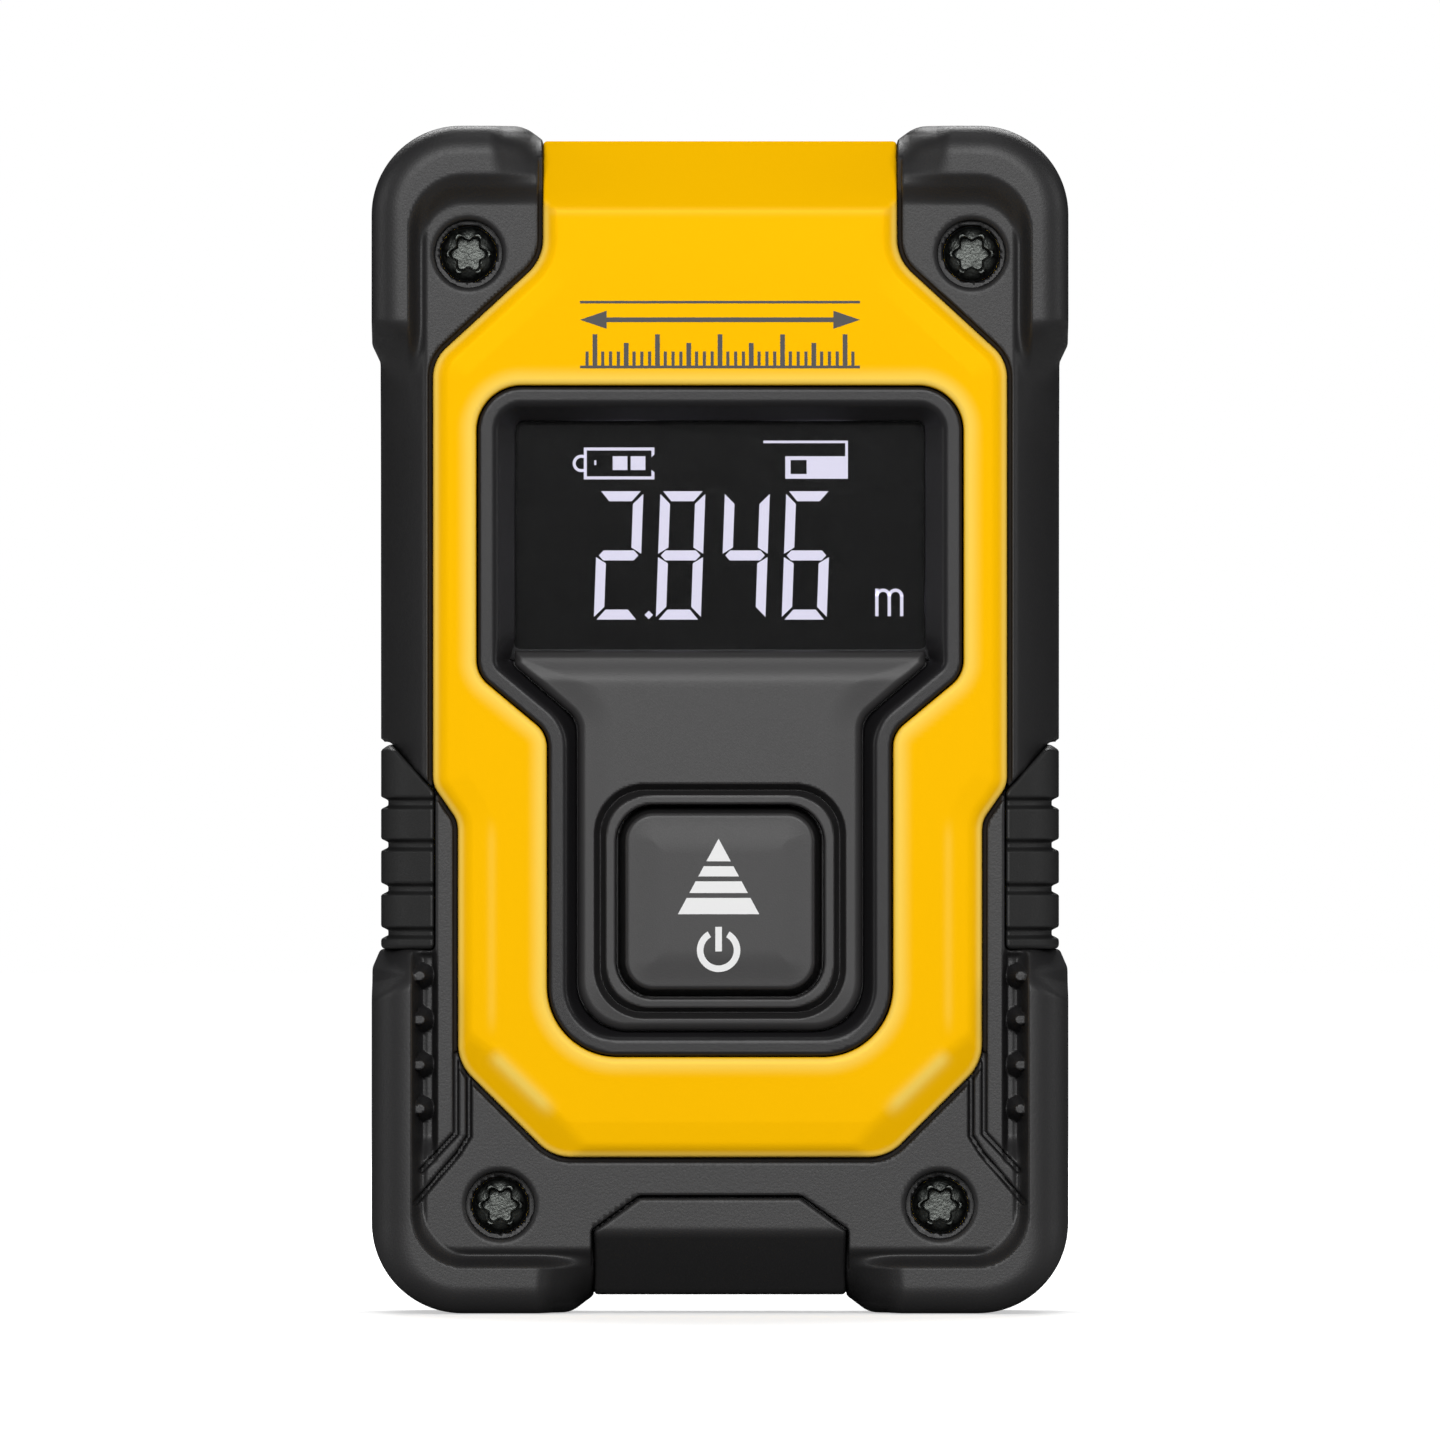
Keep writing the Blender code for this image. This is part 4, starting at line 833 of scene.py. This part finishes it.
screw_places = ((-16.1, 67.8), (16.1, 67.8), (-14.07, 6.92), (14.07, 6.92))
for k, (cx, cz) in enumerate(screw_places, 1):
    ob = screw(f"lobed_case_screw_{k}", cx, cz)
    pieces[ob.name] = (ob, "case", [f"case_screw_{k}"], "black_oxide_steel")


def slab(name, corners, layers, mat, seg=8, plane="xz"):
    rings = [[(a, y, b) if plane == "xz" else (a, b, y) for a, b in outline(corners, inset, seg)] for y, inset in layers]
    return ring_solid(name, rings, mat)


ob = slab("display_window_pane", rect(13.85, 41.85, 57.85, 0.6), [(-9.68, 0.12), (-9.70, 0.2), (-9.68, 0.12), (-9.58, 0.0), (-9.0, 0.0), (-8.9, 0.1)][2:], WINDOW)
pieces[ob.name] = (ob, "case", ["display_window"], "clear_window")
ob = slab("display_cell", rect(13.75, 41.95, 57.75, 0.3), [(-7.9, 0.08), (-7.82, 0.0), (-6.5, 0.0), (-6.4, 0.1)], GLASS_BLACK)
pieces[ob.name] = (ob, "case", ["lcd_panel"], "lcd_glass")
ob = slab("blank_rating_label", rect(11.0, 22.0, 52.0, 1.5), [(11.05, 0.0), (11.22, 0.0), (11.25, 0.04)], LABEL)
pieces[ob.name] = (ob, "case", ["rear_label"], "blank_label")
window_corners = [(-9.25, OPTIC_Y - 5.0, 2.9), (9.25, OPTIC_Y - 5.0, 2.9), (9.25, OPTIC_Y + 5.0, 2.9), (-9.25, OPTIC_Y + 5.0, 2.9)]
ob = slab("measuring_window_pane", window_corners, [(72.3, -0.55), (73.2, -0.55), (73.22, 0.0), (74.55, 0.0), (74.68, 0.05), (74.75, 0.2)], OPTIC_GLASS, plane="xy")
pieces[ob.name] = (ob, "case", ["optical_window"], "clear_window")


# thin dark rubber sheet on the sloped shell under the flap, seen when the flap is open: painted shade that keeps the
# yellow shell dark where it shows through the gaps round the flap
shade_sheet = [(8.3, 3.45), (8.3, 5.3), (6.35, 6.6), (4.9, 6.72), (-4.9, 6.72), (-6.35, 6.6), (-8.3, 5.3), (-8.3, 3.45)]
ob = ring_solid("port_recess_shade_sheet", [[(a, -(5.08 + 1.237 * (b - 3.45) + lift), b) for a, b in shade_sheet] for lift in (0.04, 0.20)], TPE)
pieces[ob.name] = (ob, "case", [], "black_rubber")


# ------------------------------------------------------------------ flat graphics
def graphic(name, shapes, y, thick, mat, dz=0.0):
    """Thin raised shapes on a face that looks along -Y. Each shape is a closed loop of (x, z) mm, counter-clockwise."""
    bm = bmesh.new()
    for points in shapes:
        front = [bm.verts.new(Vector((px, y - thick, pz)) * MM) for px, pz in points]
        back = [bm.verts.new(Vector((px, y, pz)) * MM) for px, pz in points]
        n = len(points)
        bm.faces.new(front)
        bm.faces.new(list(reversed(back)))
        for i in range(n):
            bm.faces.new((front[i], back[i], back[(i + 1) % n], front[(i + 1) % n]))
    bmesh.ops.recalc_face_normals(bm, faces=bm.faces)
    mesh = bpy.data.meshes.new(name)
    bm.to_mesh(mesh)
    bm.free()
    mesh.materials.append(mat)
    ob = bpy.data.objects.new(name, mesh)
    bpy.context.scene.collection.objects.link(ob)
    return ob


def bar(x0, z0, x1, z1, w, taper=0.0):
    """Bar from one point to another with optional pointed ends."""
    d = Vector((x1 - x0, z1 - z0))
    u = d.normalized()
    n = Vector((-u.y, u.x)) * (w / 2)
    a, b = Vector((x0, z0)), Vector((x1, z1))
    if taper:
        t = u * taper
        return [tuple(a), tuple(a + t - n), tuple(b - t - n), tuple(b), tuple(b - t + n), tuple(a + t + n)]
    return [tuple(a - n), tuple(b - n), tuple(b + n), tuple(a + n)]


def box_shape(x0, z0, x1, z1):
    return [(x0, z0), (x1, z0), (x1, z1), (x0, z1)]


def disc(cx, cz, r, n=32, start=0.0):
    return [(cx + r * math.cos(start + 2 * math.pi * k / n), cz + r * math.sin(start + 2 * math.pi * k / n)) for k in range(n)]


def arc_band(cx, cz, r, w, a0, a1, n=28):
    """Closed band along an arc, angles in degrees."""
    outer = [(cx + (r + w / 2) * math.cos(math.radians(a0 + (a1 - a0) * k / n)), cz + (r + w / 2) * math.sin(math.radians(a0 + (a1 - a0) * k / n))) for k in range(n + 1)]
    inner = [(cx + (r - w / 2) * math.cos(math.radians(a0 + (a1 - a0) * k / n)), cz + (r - w / 2) * math.sin(math.radians(a0 + (a1 - a0) * k / n))) for k in range(n + 1)]
    return outer + inner[::-1]


def digit(value, x0, z0, w, h, stroke=0.64, lean=0.036, gap=0.11):
    """Seven-segment digit with mitred ends. x0, z0 is its lower left corner."""
    lit = {0: "abcdef", 1: "bc", 2: "abged", 3: "abgcd", 4: "fgbc", 5: "afgcd", 6: "afgedc", 7: "abc", 8: "abcdefg", 9: "abcdfg"}[value]
    s, m, g = stroke, h / 2, gap
    q, c = s * 0.5, gap * 1.6
    shapes = {
        "a": [(c, h), (c + s * 0.85, h - s), (w - c - s * 0.85, h - s), (w - c, h)],
        "d": [(c, 0), (w - c, 0), (w - c - s * 0.85, s), (c + s * 0.85, s)],
        "g": [(c, m), (c + q * 0.9, m - q), (w - c - q * 0.9, m - q), (w - c, m), (w - c - q * 0.9, m + q), (c + q * 0.9, m + q)],
        "f": [(0, h - c), (0, m + g), (s, m + g + s * 0.62), (s, h - c - s)],
        "e": [(0, c), (s, c + s), (s, m - g - s * 0.62), (0, m - g)],
        "b": [(w, h - c), (w - s, h - c - s), (w - s, m + g + s * 0.62), (w, m + g)],
        "c": [(w, c), (w, m - g), (w - s, m - g - s * 0.62), (w - s, c + s)],
    }
    return [[(x0 + px + pz * lean, z0 + pz) for px, pz in shapes[name]] for name in lit]


DIGIT_W, DIGIT_H, DIGIT_Z = 2.88, 8.22, 44.40
display = []
for value, left in ((2, -8.08), (8, -4.11), (4, 0.02), (6, 3.95)):
    display += digit(value, left, DIGIT_Z, DIGIT_W, DIGIT_H)
display.append(disc(-4.56, DIGIT_Z + 0.30, 0.27, 4, 0.0))
# unit letter m
left, width, low, high, w = 9.94, 1.80, 44.62, 46.38, 0.21
for k in range(3):
    cx = left + w / 2 + (width - w) * k / 2
    display.append(box_shape(cx - w / 2, low, cx + w / 2, high - (0.0 if k == 0 else 0.42)))
for k in range(2):
    cx = left + w / 2 + (width - w) * (k + 0.5) / 2
    half = (width - w) / 4
    display.append(arc_band(cx, high - 0.10 - half, half, w, 4, 176, 16))
# battery symbol: case outline with a terminal on the left and two filled cells
x0, x1, z0, z1, w = -8.72, -4.20, 53.38, 55.42, 0.19
display += [box_shape(x0, z0, x1, z0 + w), box_shape(x0, z1 - w, x1, z1), box_shape(x0, z0 + w, x0 + w, z1 - w),
            [(x1 - w, z1 - w), (x1 - w, z1 - 0.62), (x1, z1 - 0.45), (x1, z1 - w)][::1], [(x1 - w, z0 + 0.62), (x1 - w, z0 + w), (x1, z0 + w), (x1, z0 + 0.45)],
            arc_band(x0 - 0.16, (z0 + z1) / 2, 0.46, w, 68, 292, 16)]
display += [box_shape(-6.87, 53.98, -5.93, 54.86), box_shape(-5.72, 53.98, -4.78, 54.86), box_shape(-8.05, 54.30, -7.92, 54.60)]
# measuring reference symbol: the beam line over a small body with a dark window
x0, x1, z0, z1 = 4.18, 8.19, 53.42, 54.86
display += [box_shape(x0, z0, x1, 53.72), box_shape(x0, 54.62, 5.55, z1), box_shape(x0, 53.72, 4.52, 54.62), box_shape(5.55, 53.72, x1, z1),
            box_shape(2.78, 55.70, x1, 55.86), box_shape(x1 - 0.17, z1, x1, 55.70)]
ob = graphic("display_segments_lit", display, -7.93, 0.03, SEGMENTS)
pieces[ob.name] = (ob, "case", [], "lcd_glass")

# printed ruler and dimension arrow above the display
marks = []
half = 8.95
marks += [box_shape(-half, 64.62, half, 64.78), box_shape(-half, 60.46, half, 60.64)]
for k in range(-17, 18):
    x = k * 0.5
    tall = 2.0 if k % 8 == 0 else 1.45 if k % 4 == 0 else 0.9
    wide = 0.15 if k % 4 == 0 else 0.10
    marks.append(box_shape(x - wide, 60.64, x + wide, 60.64 + tall))
marks.append(box_shape(-half + 1.7, 63.42, half - 1.7, 63.72))
for side in (-1, 1):
    arrow = [(side * half, 63.57), (side * (half - 1.7), 64.15), (side * (half - 1.7), 62.99)]
    marks.append(arrow if side < 0 else arrow[::-1])
ob = graphic("printed_ruler_mark", marks, -PLATEAU + 0.01, 0.03, PRINT_BLACK)
pieces[ob.name] = (ob, "case", [], "yellow_abs")

# button symbols: a widening beam drawn as four bars, and a power ring
icons = []
apex_z, base_z, cx, half = 30.38, 25.55, -0.09, 2.60
for top, low in ((0.0, 0.30), (0.365, 0.50), (0.565, 0.72), (0.785, 1.0)):
    za, zb = apex_z - (apex_z - base_z) * top, apex_z - (apex_z - base_z) * low
    wa, wb = half * top, half * low
    icons.append([(cx - wb, zb), (cx + wb, zb), (cx + wa, za), (cx - wa, za)] if top else [(cx - wb, zb), (cx + wb, zb), (cx, za)])
cz = 23.32
icons.append(arc_band(cx, cz - 0.08, 1.18, 0.42, 120, 420, 40))
icons.append(box_shape(cx - 0.21, cz - 0.15, cx + 0.21, cz + 1.42))
ob = graphic("button_symbols", icons, -11.60, 0.04, PRINT_WHITE)
pieces[ob.name] = (ob, "button", [], "grey_silicone")

# ------------------------------------------------------------------ attach the pieces
for ob, body, stands_for, slot in pieces.values():
    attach(ob, body)
    if stands_for:
        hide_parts(*stands_for)

cad_materials = {
    "housing_seal": FOAM, "window_gasket": FOAM, "battery_foam": FOAM, "backlight_guide": WHITE_PLASTIC, "lcd_frame": WHITE_PLASTIC,
    "lcd_flex": FLEX, "main_pcb": PCB, "detector_board": PCB, "tact_switch_body": STEEL, "tact_switch_plunger": CHIP, "usb_socket": STEEL,
    "usb_tongue": CHIP, "mcu_chip": CHIP, "charger_chip": CHIP, "crystal": STEEL, "rf_shield": STEEL, "buzzer": CHIP,
    "battery_connector": WHITE_PLASTIC, "battery_cell": FOIL, "battery_lead_red": RED, "battery_lead_black": BLACK_LEAD,
    "optics_chassis": BLACK_ABS, "receiver_lens": COATED, "laser_barrel": BRASS, "laser_lens": COATED, "laser_diode": BRASS,
    "detector_can": STEEL, "receiver_filter": COATED, "thread_insert_1": BRASS, "thread_insert_2": BRASS, "thread_insert_3": BRASS,
    "thread_insert_4": BRASS, "flap_anchor": TPE,
}
for node, mat in cad_materials.items():
    mesh = frame["nodes"][node].data
    mesh.materials.clear()
    mesh.materials.append(mat)

# ------------------------------------------------------------------ floor, backdrop, light and camera
def stage_material(name, value, near, far):
    """Matt pale paper. The camera also sees a glow that grows with distance, so the floor fades to white.
    Other rays meet a darker paper, which keeps the floor out of the reflections on the steep sides."""
    m, nodes, links, p = new_material(name)
    p.inputs["Roughness"].default_value = 0.9
    p.inputs["Specular IOR Level"].default_value = 0.1
    where = nodes.new("ShaderNodeNewGeometry")
    length = nodes.new("ShaderNodeVectorMath")
    length.operation = "LENGTH"
    links.new(where.outputs["Position"], length.inputs[0])
    ramp = nodes.new("ShaderNodeMapRange")
    ramp.interpolation_type = "SMOOTHSTEP"
    ramp.inputs["From Min"].default_value, ramp.inputs["From Max"].default_value = 0.03, 0.20
    ramp.inputs["To Min"].default_value, ramp.inputs["To Max"].default_value = near, far
    links.new(length.outputs["Value"], ramp.inputs["Value"])
    path = nodes.new("ShaderNodeLightPath")
    paper = nodes.new("ShaderNodeMix")
    paper.data_type = "RGBA"
    links.new(path.outputs["Is Camera Ray"], paper.inputs["Factor"])
    paper.inputs["A"].default_value = (0.22, 0.22, 0.22, 1)
    paper.inputs["B"].default_value = (value, value, value, 1)
    links.new(paper.outputs["Result"], p.inputs["Base Color"])
    gain = nodes.new("ShaderNodeMath")
    gain.operation = "MULTIPLY"
    links.new(path.outputs["Is Camera Ray"], gain.inputs[0])
    links.new(ramp.outputs["Result"], gain.inputs[1])
    p.inputs["Emission Color"].default_value = (1, 1, 1, 1)
    links.new(gain.outputs["Value"], p.inputs["Emission Strength"])
    return m


mesh = bpy.data.meshes.new("paper_floor")
mesh.from_pydata([(-4, -4, -0.00005), (4, -4, -0.00005), (4, 4, -0.00005), (-4, 4, -0.00005)], [], [(0, 1, 2, 3)])
mesh.materials.append(stage_material("paper_white", 0.80, 0.50, 1.0))
floor = bpy.data.objects.new("paper_floor", mesh)
bpy.context.scene.collection.objects.link(floor)

# the floor gives way under the open flap, as when the meter is lifted to reach the port:
# the flap's angle moves the floor along a curve of angle against height
curve = floor.driver_add("location", 2)
for modifier in list(curve.modifiers):
    curve.modifiers.remove(modifier)
while len(curve.keyframe_points):
    curve.keyframe_points.remove(curve.keyframe_points[0])
for degrees in (0, 1, 15, 30, 45, 60, 75, 90, 100):
    key = curve.keyframe_points.insert(math.radians(degrees), min(0.0, 0.0002 - 0.0156 * math.sin(math.radians(degrees))))
    key.interpolation = "LINEAR"
curve.extrapolation = "CONSTANT"
curve.driver.type = "SUM"
turn = curve.driver.variables.new()
turn.name, turn.type = "turn", "TRANSFORMS"
turn.targets[0].id = frame["bodies"]["port_flap"]
turn.targets[0].transform_type = "ROT_X"
turn.targets[0].transform_space = "WORLD_SPACE"


def area(name, at, target, size, power, size_y=None):
    light = bpy.data.lights.new(name, "AREA")
    light.shape = "RECTANGLE"
    light.size, light.size_y = size, size_y or size
    light.energy = power
    ob = bpy.data.objects.new(name, light)
    ob.location = at
    ob.rotation_mode = "QUATERNION"
    ob.rotation_quaternion = (Vector(target) - Vector(at)).to_track_quat("-Z", "Y")
    ob.visible_camera = False
    bpy.context.scene.collection.objects.link(ob)
    return ob


area("front_softbox", (0.0, -1.15, 0.38), (0, 0, 0.04), 0.80, 12.5, 0.46)
area("left_softbox", (-0.72, -0.10, 0.22), (0, 0, 0.04), 0.26, 0.8, 0.40)
area("right_softbox", (0.72, -0.10, 0.22), (0, 0, 0.04), 0.26, 0.8, 0.40)
area("overhead", (0.0, -0.05, 0.85), (0, 0, 0.05), 0.30, 0.6, 0.30)
area("back_softbox", (0.0, 0.80, 0.70), (0, 0, 0.04), 0.70, 9.5, 0.34)

world = bpy.data.worlds.new("studio")
world.use_nodes = True
nodes, links = world.node_tree.nodes, world.node_tree.links
seen, unseen, path, pick = nodes["Background"], nodes.new("ShaderNodeBackground"), nodes.new("ShaderNodeLightPath"), nodes.new("ShaderNodeMixShader")
seen.inputs["Color"].default_value = (1.0, 1.0, 1.0, 1)
unseen.inputs["Color"].default_value = (0.93, 0.96, 1.0, 1)
unseen.inputs["Strength"].default_value = 0.07
links.new(path.outputs["Is Camera Ray"], pick.inputs["Fac"])
links.new(unseen.outputs["Background"], pick.inputs[1])
links.new(seen.outputs["Background"], pick.inputs[2])
links.new(pick.outputs["Shader"], nodes["World Output"].inputs["Surface"])
bpy.context.scene.world = world
bpy.context.scene.view_settings.view_transform = "Standard"

camera_data = bpy.data.cameras.new("camera")
camera_data.sensor_width = 36.0
distance, height_in_view = 3.0, 0.0921
camera_data.lens = camera_data.sensor_width * (distance - 0.0117) / height_in_view
camera = bpy.data.objects.new("camera", camera_data)
camera.location = (0.0, -distance, 0.03797)
camera.rotation_euler = (math.radians(90), 0, 0)
camera_data.clip_start, camera_data.clip_end = 0.01, 10.0
bpy.context.scene.collection.objects.link(camera)
bpy.context.scene.camera = camera
